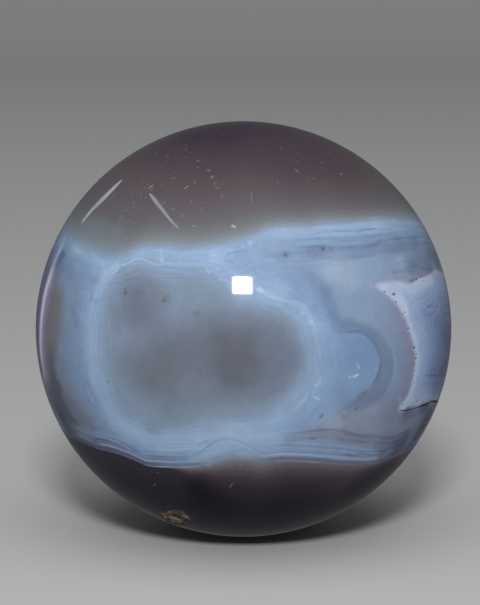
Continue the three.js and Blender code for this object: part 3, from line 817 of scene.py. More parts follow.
# Where parts of the pattern show. A limit is the name of a mask, or (field, where it is 0, where
# it is 1), or (x, y, 0 beyond, 1 within), the last two in radians round a place of the
# photograph's frame. Limits in a list are multiplied.
BELT = [("above", 0.8, -0.8), ("over", -0.4, 0.4)]
MIDDLE = [("bearing", -17, -9), ("bearing", 18, 10)]
WEST = ("bearing", -28, -44)
EAST = ("bearing", 0, 8)
WINDOW_GLOW = [("window", -6.0, -3.0), ("window", 1.5, -1.5)]
IN_EYE = ("eye", -0.6, 1.2)
IN_RING = ("misty_ring", -0.6, 0.8)
IN_PATCH = [("misty_patch", -2.0, 1.5), ("rise", 19, 13)]
TOP_BANDS_SHOW = ("bearing", 8, 19)
LEFT_FAN_SHOWS = ("bearing", -12, -32)
RIGHT_FAN_SHOWS = ("bearing", 2, 10)
BOTTOM_DARK_SHOWS = ("bearing", -16, -23)
# The body's edge is this soft, in mm, and softer by the second value where it runs low.
BODY_EDGE = (0.5, 1.1)
BODY_SOFTENS = ("rise", -12, -18)
# How far, in mm, the mist moves the edges of the eye's ring, the patch, the window's lobe, heart
# and rim, how much the ripple moves the patch's, and the warp the heart's.
RING_MIST = 0.2
PATCH_MIST = 0.5
LOBE_MIST = 0.4
CORE_MIST = 0.7
RIM_MIST = 0.25
PATCH_RIPPLE = 2
CORE_WARP = 1.5
# Where the right-hand cell's bands crowd together: how much more, and within which limits.
CROWDING = [(0.4, [("bearing", 64, 76)]), (0.12, [("rise", 4, -4)]),
            (1.9, [("rise", -3, -12), ("bearing", 58, 68)])]
# Where the left-hand cell and the painted reflection along its edge show: its top, its inside and its
# foot, and the least that shows there.
LEFT_CELL_TOP = ("rise", 24, 15)
LEFT_CELL_INSIDE = ("left_cell", 1.0, 2.5)
LEFT_CELL_FOOT = ("rise", -15, -2)
LEFT_CELL_LEAST = 0.15
# Where the upper cap's rate tells, and where the lower cap's lead begins and lessens, by how much.
TOP_RATE_TELLS = ("rise", 75, 50)
LEAD_BEGINS = ("over", 0.1, -0.5)
LEAD_LESSENS = ("over", -2, -7)
LEAD_LOSS = 0.7

# The soft colours under the bands. A wash is (colour, cover, limits).
BELT_COLOUR = (140, 164, 196)
LOWER_WASHES = [
    # Right of the blue body: paler and greyer, darker again towards the white-edged cell.
    ((138, 158, 187), 1, ["beyond"]),
    ((152, 180, 211), 1, ["middle", ("over", 2, 3.2), ("over", 9, 5)]),
    ((129, 146, 177), 1, ["beyond", ("bearing", 14, 9), ("rise", 0, 6), ("rise", 33, 28)]),
    ((143, 167, 196), 1, ["beyond", ("bearing", 18, 10), ("rise", 28, 33)]),
    ((150, 169, 193), 1, ["beyond", (341, 270, 0.14, 0.04)]),
    ((122, 140, 168), 0.7, [(326, 291, 0.05, 0.01)]),
    ((130, 146, 176), 0.9, ["beyond", ("right_cell", -8, -3.5), ("rise", 18, 4)]),
    ((139, 149, 168), 1, ["beyond", ("rise", -10, -16), ("bearing", 46, 38)]),
    ((129, 140, 163), 1, ["beyond", ("rise", -9, -15), ("bearing", 38, 46)]),
    ((138, 135, 161), 0.75, ["beyond", ("right_cell", -3.4, -0.8), ("rise", 16, 9),
                             ("rise", -19, -12), ("bearing", 70, 62)]),
    # The blue body darkens towards its edge, most of all in its eye.
    ((127, 152, 185), 0.6, [("body", 8, 4), ("body", -0.5, 0.5), ("bearing", 8, 16),
                            ("rise", -15, -8)]),
    ((127, 152, 187), 0.9, ["in_eye"]),
    ((119, 145, 181), 1, ["in_eye", (362, 353, 0.13, 0.03)]),
    ((113, 131, 160), 0.8, ["in_ring"]),
    ((118, 129, 150), 0.6, ["in_ring", ("rise", -6, -12)]),
    ((130, 144, 168), 0.6, [(346, 410, 0.065, 0.02)]),
    ((152, 167, 190), 0.8, [(334, 424, 0.065, 0.02)]),
    # Left of the window: a grey-blue strip, then a brownish patch against the left-hand cell.
    ((130, 151, 183), 1, ["west", ("window", -2, -5)]),
    ((137, 164, 197), 1, ["west", ("window", -2, -5), ("rise", 18, 26)]),
    ((121, 132, 153), 1, ["west", ("patch", -5.5, -1.5), ("rise", 0, -11)]),
    ((130, 147, 172), 0.8, ["west", ("patch", -2.6, -0.8), ("rise", -12, -4)]),
    ((124, 138, 158), 0.5, ["west", ("patch", -3.4, -0.6), ("rise", 19, 13)]),
    ((124, 125, 132), 1, ["in_patch"]),
    ((92, 95, 112), 1, ["in_patch", ("rise", 5, -10)]),
    ((138, 164, 190), 0.6, [(62, 349, 0.03, 0.008)]),
    ((140, 137, 160), 0.7, ["in_patch", ("left_cell", -2.8, -0.4), ("rise", -17, -12)]),
]
UPPER_WASHES = [
    # The rim's glow and the window.
    ((122, 145, 178), 0.5, ["glow", ("bearing", 10, 22), ("rise", 12, 4)]),
    ((156, 183, 212), 0.6, ["glow", ("rise", -12, -20), ("bearing", 16, 4)]),
    ((116, 130, 152), 0.5, [("window", -0.5, 2), ("bearing", 5, 14), ("rise", 8, 0)]),
    ((130, 155, 188), 0.9, [("window", -0.8, -2.4), (305, 298, 0.11, 0.04)]),
    ((112, 121, 138), 1, [("misty_lobe", -3, 3), ("window", -1, 1)]),
    ((109, 117, 130), 1, [("misty_core", -3, 4), ("window", 0, 3)]),
    # Painted reflection: a lighter place low in the window, then a darker upright patch in its middle.
    ((120, 129, 142), 0.6, [(196, 394, 0.11, 0.04)]),
    ((98, 101, 114), 0.85, [("core", 1, 4), (236, 363, 0.15, 0.04)]),
    ((101, 104, 117), 0.75, [("core", 1, 4), (235, 334, 0.14, 0.04)]),
    ((126, 143, 163), 0.6, [(152, 428, 0.055, 0.015)]),
    ((152, 176, 204), 0.45, [(228, 430, 0.075, 0.02)]),
    ((111, 124, 144), 0.4, [("window", 0, 3), ("bearing", 2, 10), ("rise", 20, 10),
                            ("rise", -20, -12)]),
    # Greyer just over the lower wall, and a swelling under the humped seam.
    ((132, 149, 172), 1, ["middle", ("over", 2.2, 0.8)]),
    ((140, 156, 178), 0.5, [("over", 4, 2), (240, 452, 0.115, 0.03)]),
]

# Grooves: places (bearing, rise) along them in degrees, width and depth in mm, the share of the
# length at which they are widest, cover and colour.
GROOVES = [
    ([(48.6, -15.6), (51.4, -16.3), (54.4, -16.5), (59.5, -16.5), (65, -16.6), (67.2, -16.4),
      (70.7, -17.1), (76, -18.2), (83, -19.6)], 0.55, 0.26, 0.7, 0.95, (40, 40, 62)),
    ([(-61.6, 49.8), (-61.9, 47.2), (-62.6, 44.4), (-63.7, 41.5), (-65.0, 39.0), (-65.8, 36.6),
      (-66.4, 34.0)], 1.90, 0.18, 0.45, 1.0, (176, 174, 182)),
    ([(-39.3, 46.7), (-36.3, 45.4), (-32.7, 43.5), (-29.4, 41.6), (-25.6, 39.1), (-21.4, 36.4)],
     0.80, 0.16, 0.22, 0.88, (158, 156, 163)),
]
GROOVE_REACH = 2.5
GROOVE_FADE = 0.03
TAPER_POWER = 0.42
# The least share of its width that a groove's profile keeps, how rough its floor is, and its
# colour's edges as shares of the half width, with some mm more on the outer one.
GROOVE_NARROWEST = 0.05
GROOVE_WEAR = 0.9
GROOVE_EDGES = (1.1, 0.35)
GROOVE_SOFT = 0.04
GROOVE_UNEVEN = 0.6
# The rough chip: its place and heading in degrees, its size in mm, and how many broken faces it
# has, with how much they tilt and step up or down.
CHIP_PLACE = (-36.8, -57)
CHIP_HEADING = 46
CHIP_HALF_LENGTH = 4.6
CHIP_HALF_WIDTH = 2.2
CHIP_DEPTH = 0.95
CHIP_SEED = 33
CHIP_FACES = 34
CHIP_TILT = 0.16
CHIP_STEP = 0.09
# The bowl's share of the depth, how far inside the edge the steps are full, and the least and
# greatest depth in mm. Nothing past this cosine from its middle is in the chip.
CHIP_BOWL = 0.9
CHIP_STEPS_FROM = 0.3
CHIP_LIMITS = (0.03, CHIP_DEPTH + 0.2)
CHIP_SIDE = 0.8
# Where, going inwards, the chip's colour and its rough finish begin and are full, and where its
# grain turns light and dark.
CHIP_TINTED = (-0.04, 0.10)
CHIP_WORN = (-0.02, 0.04)
CHIP_LIT = (0.2, 1.3)
CHIP_SHADED = (-0.5, -1.4)
CHIP_COLOUR = (122, 106, 94)
CHIP_LIGHT = (182, 166, 150)
CHIP_DARK = (70, 56, 48)
PIT_DEPTH = 0.14
PIT_WEAR = 0.8
PIT_RIM_COVER = 0.4
# Where marks begin and are full, as shares of their radius.
PIT_RIM_FADE = (2.2, 1.2)
PIT_FADE = (1.3, 0.2)
HOLLOW_FADE = (1.2, 0.2)
SPOT_FADE = (1.5, 0)
# How drawn out the marks are: 0 is round, and near 1 is a thin line.
PIT_STRETCH = 0.55
SPOT_STRETCH = 0.35

# The mesh: how often an icosahedron's sides are split, and then the edges that are too long.
BASE_SPLITS = 54
FINE_PASSES = 3
# The longest edges wanted, in mm: on the plain ball and on threads, cuts, spots and rims.
BALL_EDGE = 0.9
THREAD_EDGE = 0.16
CUT_EDGE = 0.12
SPOT_EDGE = 0.10
RIM_EDGE = 0.2
EDGE_PER_SOFT = 0.7
EDGE_PER_RADIUS = 0.45
# How far round them the mesh is fine: in mm, and for pits and spots as a share of their radius.
GROOVE_MARGIN = 0.05
CHIP_MARGIN = 2.0
FOOT_MARGIN = 0.3
PIT_MARGIN = 1.6
SPOT_MARGIN = 1.4
# Round the back, from and to these bearings, edges may grow longer by this share.
FAR_EDGES = (95, 110)
FAR_GROWTH = 1.4
# How steeply the chip's share is taken to fall outside its edge, in mm.
CHIP_FALL = 30.0
# Strokes with a soft edge wider than this, in mm, need no finer triangles than the ball's own.
SOFT_ENOUGH = 0.8
# How far apart, in mm, the cut's depth is compared for its slope, and the steepest slope kept.
SLOPE_STEP = 0.06
STEEPEST = 1.2
# Above and below this height a direction counts as close to a pole.
POLAR = 0.9


def sRGB(red, green, blue):
    """A colour given in the usual 0 to 255 steps, as linear light."""
    value = np.array([red, green, blue]) / 255
    return np.where(value <= 0.04045, value / 12.92, ((value + 0.055) / 1.055) ** 2.4)


def band_colour(bands, distance):
    """Colour and cover of a row of bands at these distances from their wall."""
    place = [band[0] for band in bands]
    colour = np.array([sRGB(*band[1]) for band in bands])
    cover = np.interp(distance, place, [band[2] for band in bands])
    return np.stack([np.interp(distance, place, colour[:, i]) for i in range(3)], 1), cover


# Distances and masks of the pattern at each direction.

def pattern_fields(directions):
    """Depths inside the pattern's outlines and heights above its walls, all in mm."""
    seen = folded(directions)
    bearing, rise = to_angles(seen)
    warp = clouds(directions, WARP)
    right_cell = np.concatenate([from_photo(RIGHT_CELL), from_angles(RIGHT_CELL_ROUND)])
    # The left-hand cell's front edge is the painted reflection line along the left rim.
    left_cell = np.concatenate([from_photo(LEFT_CELL_AND_REFLECTION_LINE), from_angles(LEFT_CELL_ROUND)])
    return {
        "seen": seen,
        "bearing": bearing,
        "rise": rise,
        "ripple": clouds(directions, RIPPLE),
        "mist": clouds(directions, MIST),
        "above": wall_height(TOP_WALL, TOP_WALL_ENDS, bearing, rise),
        "over": wall_height(BOTTOM_WALL, BOTTOM_WALL_ENDS, bearing, rise),
        "window": depth_inside(from_photo(WINDOW), seen) + warp,
        "core": depth_inside(from_photo(WINDOW_CORE), seen) + CORE_WARP * warp,
        "lobe": depth_inside(from_photo(WINDOW_LOBE), seen) + warp,
        "body": depth_inside(from_photo(BODY), seen, BODY_REACH),
        "eye": depth_inside(from_photo(EYE), seen, EYE_REACH),
        "ring": depth_inside(from_photo(EYE_RING), seen, EYE_REACH),
        "right_cell": depth_inside(right_cell, seen),
        "left_cell": depth_inside(left_cell, seen),
        "patch": depth_inside(from_photo(LEFT_PATCH), seen, PATCH_REACH),
    }


def misty_depths(f):
    """Depths inside the outlines whose edges the mist disturbs."""
    return {
        "misty_ring": f["ring"] + RING_MIST * f["mist"],
        "misty_patch": f["patch"] + PATCH_MIST * f["mist"] + PATCH_RIPPLE * f["ripple"],
        "misty_lobe": f["lobe"] + LOBE_MIST * f["mist"],
        "misty_core": f["core"] + CORE_MIST * f["mist"],
    }


def wash_masks(f):
    """The masks that several washes share."""
    edge = BODY_EDGE[0] + BODY_EDGE[1] * limit_share(f, BODY_SOFTENS)
    beyond = ease(edge, -edge, f["body"]) * limit_share(f, EAST)
    return {
        "beyond": beyond,
        "middle": share_within(f, MIDDLE),
        "west": limit_share(f, WEST),
        "in_eye": limit_share(f, IN_EYE),
        "in_ring": limit_share(f, IN_RING) * beyond,
        "in_patch": share_within(f, IN_PATCH),
        "glow": share_within(f, WINDOW_GLOW),
    }


def cap_rates(f, directions):
    """How fast the colours of the upper and the lower cap change with distance from their wall,
    and how far in mm the lower one's are ahead."""
    top, low, ahead = (np.interp(f["bearing"], *np.array(row).T)
                       for row in (TOP_RATE, BOTTOM_RATE, BOTTOM_AHEAD))
    drift = clouds(directions, CAP_DRIFT)
    lead = limit_share(f, LEAD_BEGINS) * (1 - LEAD_LOSS * limit_share(f, LEAD_LESSENS))
    return ((1 + (top - 1) * limit_share(f, TOP_RATE_TELLS)) * (1 + TOP_DRIFT * drift),
            low * (1 + BOTTOM_DRIFT * drift),
            ahead * lead)


def crowded_cell(f):
    """Depth in mm inside the right-hand cell, running faster where its bands crowd together."""
    return f["right_cell"] * (1 + sum(more * share_within(f, limits) for more, limits in CROWDING))


def left_cell_and_reflection_share(f):
    """How much of the left-hand cell's bands shows: its white edge, a painted reflection of a strip light,
    fades out upwards and, more slowly, downwards."""
    lower = LEFT_CELL_LEAST + (1 - LEFT_CELL_LEAST) * limit_share(f, LEFT_CELL_FOOT)
    return np.maximum(limit_share(f, LEFT_CELL_TOP), limit_share(f, LEFT_CELL_INSIDE)) * lower


def limit_share(f, limit):
    """How much one limit of a wash lets through at each direction."""
    if isinstance(limit, str):
        return f[limit]
    if len(limit) == 3:
        field, nothing, full = limit
        return ease(nothing, full, f[field])
    x, y, outer, inner = limit
    return ease(math.cos(outer), math.cos(inner), f["seen"] @ from_photo([(x, y)])[0])


def share_within(f, limits):
    """How much these limits together let through at each direction."""
    return np.prod([limit_share(f, limit) for limit in limits], axis=0)


def lay_washes(paint, washes, f):
    """The paint with these washes laid over it, one after the other."""
    for colour, cover, limits in washes:
        share = np.clip(cover * share_within(f, limits), 0, 1)
        paint = paint + (sRGB(*colour) - paint) * share[:, None]
    return paint


def ground_paint(f):
    """The soft colours under the fine bands, as linear light."""
    f = {**f, **misty_depths(f)}
    f.update(wash_masks(f))
    paint = lay_washes(np.tile(sRGB(*BELT_COLOUR), (len(f["seen"]), 1)), LOWER_WASHES, f)
    rim, cover = band_colour(WINDOW_RIM, f["window"] + RIM_MIST * f["mist"])
    return lay_washes(paint + (rim - paint) * cover[:, None], UPPER_WASHES, f)


# The cuts and marks.

def line_gap(line, places, reach):
    """Distance in mm from a smooth line through these directions, and the share of its length."""
    return reach_of(ball_curve(line), places, reach)


def taper(along, widest):
    """Share of a groove's full width at each share of its length."""
    before = np.clip(along / widest, 0, 1)
    after = np.clip((1 - along) / (1 - widest), 0, 1)
    return np.minimum(before, after) ** TAPER_POWER


def chip_inside(directions):
    """How far inside the chip's ragged edge each direction is, and its place across and along."""
    middle = from_angles([CHIP_PLACE])[0]
    side = -unit(np.cross(middle, [0.0, 0.0, 1.0]))
    top = np.cross(middle, side)
    heading = math.radians(CHIP_HEADING)
    along = directions @ (top * math.cos(heading) + side * math.sin(heading)) * BALL_RADIUS
    across = directions @ (side * math.cos(heading) - top * math.sin(heading)) * BALL_RADIUS
    inside = 1 - np.hypot(across / CHIP_HALF_WIDTH, along / CHIP_HALF_LENGTH)
    inside += clouds(directions, CHIP_ROUGH)
    near = directions @ middle > CHIP_SIDE
    return np.where(near, inside, -1.0), np.stack([across, along], 1)


def chip_depth(directions):
    """Depth in mm of the broken hollow, made of small tilted faces."""
    inside, place = chip_inside(directions)
    depth = np.zeros(len(directions))
    near = np.flatnonzero(inside > 0)
    scatter = np.random.default_rng(CHIP_SEED)
    seeds = scatter.uniform(-1, 1, (CHIP_FACES, 2)) * (CHIP_HALF_WIDTH, CHIP_HALF_LENGTH)
    tilt = scatter.normal(0, CHIP_TILT, (CHIP_FACES, 2))
    rise = scatter.normal(0, CHIP_STEP, CHIP_FACES)
    offset = place[near][:, None, :] - seeds
    nearest = (offset ** 2).sum(2).argmin(1)
    step = rise[nearest] + (offset[np.arange(len(near)), nearest] * tilt[nearest]).sum(1)
    bowl = CHIP_DEPTH * np.sqrt(np.clip(inside[near], 0, 1)) * CHIP_BOWL
    depth[near] = np.clip(bowl + step * ease(0, CHIP_STEPS_FROM, inside[near]), *CHIP_LIMITS)
    return depth


def spot_gap(middle, directions, course, stretch):
    """Distance in mm from a spot that is longer one way, square to the course, than the other."""
    away = (directions - middle) * BALL_RADIUS
    along = away @ unit(np.cross(middle, course))
    return np.sqrt(np.maximum((away ** 2).sum(1) - stretch * along ** 2, 0))


def fade(shares, radius, distance):
    """0 at the first of two shares of a mark's radius and 1 at the second."""
    return ease(shares[0] * radius, shares[1] * radius, distance)


def pit_gap(x, y, seen):
    """Distance in mm from a pit, which is longer along the level than upwards."""
    return spot_gap(from_photo([(x, y)])[0], seen, (0.0, 0.0, 1.0), PIT_STRETCH)


def spots():
    """The small marks on the polish and in the stone: middle, course, radius, colour, cover."""
    scatter = np.random.default_rng(SPOT_SEED)
    marks = []
    for x, y, radius, tint, strength in SPECKS:
        marks.append((from_photo([(x, y)])[0], radius, tint, strength))
    for x, y, radius, strength in SCUFFS:
        marks.append((from_photo([(x, y)])[0], SCUFF_SCALE * radius, SCUFF_COLOUR, strength))
    for place in scatter.uniform(*FAR_SCUFF_AREA, (FAR_SCUFFS, 2)):
        radius = scatter.uniform(*FAR_SCUFF_RADII)
        strength = scatter.uniform(*FAR_SCUFF_COVERS)
        marks.append((from_angles([place])[0], radius, SCUFF_COLOUR, strength))
    return [(middle, scatter.normal(size=3), *rest) for middle, *rest in marks]


class Overlay:
    """One layer of strokes and marks: colour times cover, and cover, at each direction."""

    def __init__(self, directions, f):
        self.directions = directions
        self.seen = f["seen"]
        self.belt = share_within(f, BELT)
        self.worn = np.clip(STROKE_COVER + clouds(directions, STROKE_WEAR), *STROKE_LIMITS)
        self.colour = np.zeros((len(directions), 3))
        self.cover = np.zeros(len(directions))

    def lay(self, tint, share):
        """Covers what is there with this share of a colour."""
        share = np.clip(share, 0, 1)
        self.colour = self.colour * (1 - share)[:, None] + sRGB(*tint) * share[:, None]
        self.cover = self.cover * (1 - share) + share

    def draw(self, tint, half_width, soft, strength, points, places, within=1.0):
        """A stroke that narrows and fades towards its ends."""
        distance, along = line_gap(from_photo(points), places, half_width + soft + SPARE)
        bulge = np.sqrt(np.clip(4 * along * (1 - along), 0, 1))
        narrow = STROKE_TIP + (1 - STROKE_TIP) * bulge
        ends = ease(0, STROKE_FADE, along) * ease(1, 1 - STROKE_FADE, along)
        body = ease((half_width + soft) * narrow, half_width * narrow, distance)
        self.lay(tint, strength * within * ends * self.worn * body)

    def draw_strokes(self):
        """The soft shades of the belt, then the threads and seams."""
        for stroke in SHADES:
            self.draw(*stroke, self.seen, self.belt)
        for stroke in THREADS + SEAMS:
            self.draw(*stroke, self.seen)

    def draw_spots(self):
        """The pits by the right-hand cell, then the specks and small scuffs."""
        for x, y, radius, strength in CELL_PITS:
            gap = pit_gap(x, y, self.seen)
            self.lay(PIT_RIM, PIT_RIM_COVER * strength * fade(PIT_RIM_FADE, radius, gap))
            self.lay(PIT_COLOUR, strength * fade(PIT_FADE, radius, gap))
        for middle, course, radius, tint, strength in spots():
            gap = spot_gap(middle, self.directions, course, SPOT_STRETCH)
            self.lay(tint, strength * fade(SPOT_FADE, radius, gap))

    def draw_wear(self):
        """The longer scuffs, then the grooves."""
        for stroke in SCUFF_STROKES:
            self.draw(SCUFF_COLOUR, *stroke, self.directions)
        for points, width, _, widest, strength, tint in GROOVES:
            distance, along = line_gap(from_angles(points), self.directions, GROOVE_REACH)
            half = width / 2 * taper(along, widest)
            ends = ease(0, GROOVE_FADE, along) * ease(1, 1 - GROOVE_FADE, along)
            body = ease(GROOVE_EDGES[0] * half + GROOVE_SOFT, GROOVE_EDGES[1] * half, distance)
            uneven = 1 - GROOVE_UNEVEN + GROOVE_UNEVEN * self.worn
            self.lay(tint, strength * body * ends * uneven)

    def draw_chip(self):
        """The bare broken stone, lighter and darker by its grain."""
        grain = clouds(self.directions, CHIP_GRAIN)
        broken = ease(*CHIP_TINTED, chip_inside(self.directions)[0])
        self.lay(CHIP_COLOUR, broken)
        self.lay(CHIP_LIGHT, broken * ease(*CHIP_LIT, grain))
        self.lay(CHIP_DARK, broken * ease(*CHIP_SHADED, grain))


def stroke_overlay(directions, f):
    """Shades, threads, seams, specks and wear as one layer: colour times cover, and cover."""
    overlay = Overlay(directions, f)
    overlay.draw_strokes()
    overlay.draw_spots()
    overlay.draw_wear()
    overlay.draw_chip()
    return overlay.colour, overlay.cover


def relief(directions):
    """How deep each direction is cut below the ball, in mm, and how worn its polish is."""
    depth = chip_depth(directions)
    wear = ease(*CHIP_WORN, chip_inside(directions)[0])
    for points, width, deepest, widest, *_ in GROOVES:
        distance, along = line_gap(from_angles(points), directions, GROOVE_REACH)
        share = taper(along, widest)
        half = width / 2 * np.maximum(share, GROOVE_NARROWEST)
        profile = np.clip(1 - (distance / half) ** 2, 0, 1)
        depth = np.maximum(depth, deepest * share * profile)
        wear = np.maximum(wear, np.sqrt(profile) * GROOVE_WEAR)
    seen = folded(directions)
    for x, y, radius, _ in CELL_PITS:
        hollow = fade(HOLLOW_FADE, radius, pit_gap(x, y, seen))
        depth = np.maximum(depth, PIT_DEPTH * hollow)
        wear = np.maximum(wear, hollow * PIT_WEAR)
    return depth, wear


def wanted_length(directions, length):
    """The longest edge allowed, in mm, where edges of this length have their middles here."""
    wanted = np.full(len(directions), BALL_EDGE)
    seen = folded(directions)
    far = 1 + FAR_GROWTH * ease(*FAR_EDGES, np.abs(to_angles(directions)[0]))

    def fine(distance, reach, longest):
        near = distance < reach + 0.5 * length
        np.minimum(wanted, np.where(near, longest, BALL_EDGE), out=wanted)

    for _, half_width, soft, _, points in THREADS + SEAMS:
        if soft < SOFT_ENOUGH:
            distance, _ = line_gap(from_photo(points), seen, soft + 2 * SPARE)
            fine(distance, half_width + soft, max(THREAD_EDGE, EDGE_PER_SOFT * soft) * far)
    for half_width, soft, _, points in SCUFF_STROKES:
        distance, _ = line_gap(from_photo(points), directions, soft + 2 * SPARE)
        fine(distance, half_width + soft, CUT_EDGE)
    for points, width, *_ in GROOVES:
        distance, _ = line_gap(from_angles(points), directions, GROOVE_REACH)
        fine(distance, width / 2 + GROOVE_MARGIN, CUT_EDGE)
    for x, y, radius, _ in CELL_PITS:
        fine(pit_gap(x, y, seen), PIT_MARGIN * radius, EDGE_PER_RADIUS * radius * far)
    for middle, course, radius, *_ in spots():
        gap = spot_gap(middle, directions, course, SPOT_STRETCH)
        fine(gap, SPOT_MARGIN * radius, max(SPOT_EDGE, EDGE_PER_RADIUS * radius))
    fine(-CHIP_FALL * chip_inside(directions)[0], CHIP_MARGIN, RIM_EDGE)
    rim = np.abs(np.hypot(directions[:, 0], directions[:, 1]) * BALL_RADIUS - FOOT_RADIUS)
    fine(np.where(directions[:, 2] < 0, rim, BALL_RADIUS), FOOT_MARGIN, RIM_EDGE)
    return wanted


# A ball of triangles, finer where the relief and the thin lines are.

def icosphere(splits):
    """Unit vectors and triangles of an icosahedron with its faces split evenly."""
    golden = (1 + 5 ** 0.5) / 2
    corners = np.array([(-1, golden, 0), (1, golden, 0), (-1, -golden, 0), (1, -golden, 0),
                        (0, -1, golden), (0, 1, golden), (0, -1, -golden), (0, 1, -golden),
                        (golden, 0, -1), (golden, 0, 1), (-golden, 0, -1), (-golden, 0, 1)])
    sides = [(0, 11, 5), (0, 5, 1), (0, 1, 7), (0, 7, 10), (0, 10, 11), (1, 5, 9), (5, 11, 4),
             (11, 10, 2), (10, 7, 6), (7, 1, 8), (3, 9, 4), (3, 4, 2), (3, 2, 6), (3, 6, 8),
             (3, 8, 9), (4, 9, 5), (2, 4, 11), (6, 2, 10), (8, 6, 7), (9, 8, 1)]
    places = [(i, j) for i in range(splits + 1) for j in range(splits + 1 - i)]
    number = {place: n for n, place in enumerate(places)}
    weights = np.array([(splits - i - j, i, j) for i, j in places]) / splits
    local = []
    for i, j in places:
        if i + j < splits:
            local.append((number[i, j], number[i + 1, j], number[i, j + 1]))
        if i + j < splits - 1:
            local.append((number[i + 1, j], number[i + 1, j + 1], number[i, j + 1]))
    points = unit(np.concatenate([weights @ corners[list(side)] for side in sides]))
    triangles = np.concatenate([np.array(local) + len(places) * n for n in range(len(sides))])
    _, first, same = np.unique(np.round(points, 6), axis=0, return_index=True, return_inverse=True)
    return points[first], same.reshape(-1)[triangles]


def split_long_edges(points, triangles):
    """Halve each edge longer than is wanted at its middle, and split its triangles to match."""
    ends = np.sort(triangles[:, [0, 1, 1, 2, 2, 0]].reshape(-1, 2), axis=1)
    edges, of_side = np.unique(ends, axis=0, return_inverse=True)
    middles = unit(points[edges].mean(1))
    length = np.linalg.norm(points[edges[:, 0]] - points[edges[:, 1]], axis=1) * BALL_RADIUS
    long = length > wanted_length(middles, length)
    fresh = np.full(len(edges), -1)
    fresh[long] = len(points) + np.arange(long.sum())
    mids = fresh[of_side.reshape(-1, 3)]
    count = (mids >= 0).sum(1)
    out = [triangles[count == 0]]
    for turn in range(3):
        corner = np.roll(triangles, -turn, axis=1)
        mid = np.roll(mids, -turn, axis=1)
        one = (count == 1) & (mid[:, 0] >= 0)
        (a, b, c), m = corner[one].T, mid[one, 0]
        out += [np.stack(t, 1) for t in ((a, m, c), (m, b, c))]
        two = (count == 2) & (mid[:, 2] < 0)
        (a, b, c), (m, n) = corner[two].T, mid[two, :2].T
        out += [np.stack(t, 1) for t in ((m, b, n), (a, m, n), (a, n, c))]
    every = count == 3
    (a, b, c), (m, n, k) = triangles[every].T, mids[every].T
    out += [np.stack(t, 1) for t in ((a, m, k), (m, b, n), (k, n, c), (m, n, k))]
    return np.concatenate([points, middles[long]]), np.concatenate(out)


def cut_normals(directions, depth):
    """The cut ball's normals, from how fast the cut deepens two ways across each direction."""
    pole = np.where(np.abs(directions[:, 2:]) > POLAR, [[1.0, 0.0, 0.0]], [[0.0, 0.0, 1.0]])
    first = unit(np.cross(pole, directions))
    normals = directions.copy()
    for tangent in (first, np.cross(directions, first)):
        moved = unit(directions + tangent * SLOPE_STEP / BALL_RADIUS)
        slope = np.clip((relief(moved)[0] - depth) / SLOPE_STEP, -STEEPEST, STEEPEST)
        normals += tangent * slope[:, None]
    return unit(normals)


def set_normals(mesh, directions, triangles, depth, low):
    """Smooth normals for the ball and its cuts, a flat foot, and the mesh's own in the chip."""
    rough = np.empty(len(directions) * 3, np.float32)
    mesh.vertex_normals.foreach_get("vector", rough)
    broken = chip_depth(directions) > 0
    touched = np.zeros(len(directions), bool)
    touched[triangles[broken[triangles].any(1)]] = True
    normals = np.where(touched[:, None], rough.reshape(-1, 3), cut_normals(directions, depth))
    normals[low] = (0, 0, -1)
    mesh.normals_split_custom_set_from_vertices(normals)


def vertex_values(directions, wear):
    """What the material reads at each vertex, three numbers to a name."""
    f = pattern_fields(directions)
    colour, cover = stroke_overlay(directions, f)
    top, left, right, dark = (limit_share(f, limit) for limit in (
        TOP_BANDS_SHOW, LEFT_FAN_SHOWS, RIGHT_FAN_SHOWS, BOTTOM_DARK_SHOWS))
    top_rate, low_rate, ahead = cap_rates(f, directions)
    squeeze = 1 + SQUEEZE * ease(*SQUEEZED, f["bearing"])
    sway = SWAY * f["ripple"]
    uncovered = 1 - cover
    rows = {
        "walls": (f["above"] - sway, (f["over"] + sway) * squeeze, f["window"]),
        "cells": (crowded_cell(f) + sway, f["left_cell"] + sway, ahead),
        "shown": (top, left, right),
        "rates": (top_rate, low_rate / squeeze, dark),
        "finish": (wear, share_within(f, BELT), left_cell_and_reflection_share(f)),
        "uncovered": (uncovered, uncovered, uncovered),
    }
    values = {name: np.stack(row, 1) for name, row in rows.items()}
    return {"paint": ground_paint(f), "strokes": colour, **values}


def add_stone(material):
    """The ball: a fine mesh with its cuts, its flat foot and the values that its nodes read."""
    directions, triangles = icosphere(BASE_SPLITS)
    for _ in range(FINE_PASSES):
        directions, triangles = split_long_edges(directions, triangles)
    depth, wear = relief(directions)
    verts = directions * (BALL_RADIUS - depth)[:, None]
    low = verts[:, 2] < -CENTRE_HEIGHT
    verts[low] *= (CENTRE_HEIGHT / -verts[low, 2])[:, None]
    verts[:, 2] += CENTRE_HEIGHT
    verts[np.abs(verts) < TINY] = 0
    mesh = bpy.data.meshes.new(PIECE)
    mesh.from_pydata(verts * MM, [], triangles.tolist())
    mesh.polygons.foreach_set("use_smooth", [True] * len(triangles))
    set_normals(mesh, directions, triangles, depth, low)
    for name, value in vertex_values(directions, wear).items():
        attribute = mesh.attributes.new(name, "FLOAT_VECTOR", "POINT")
        attribute.data.foreach_set("vector", value.astype(np.float32).ravel())
    mesh.materials.append(material)
    stone = add_object(PIECE, mesh)
    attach(stone, "root")
    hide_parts(NODE)


# The material.

# The sockets of the colour mixing node.
MIX_SHARE = 0
MIX_UNDER = 6
MIX_OVER = 7
MIX_RESULT = 2
# How far in mm the bands waver, and how large the wavering is.
WAVER = 0.15
WAVER_SIZE = 1.6
WAVER_DETAIL = 2
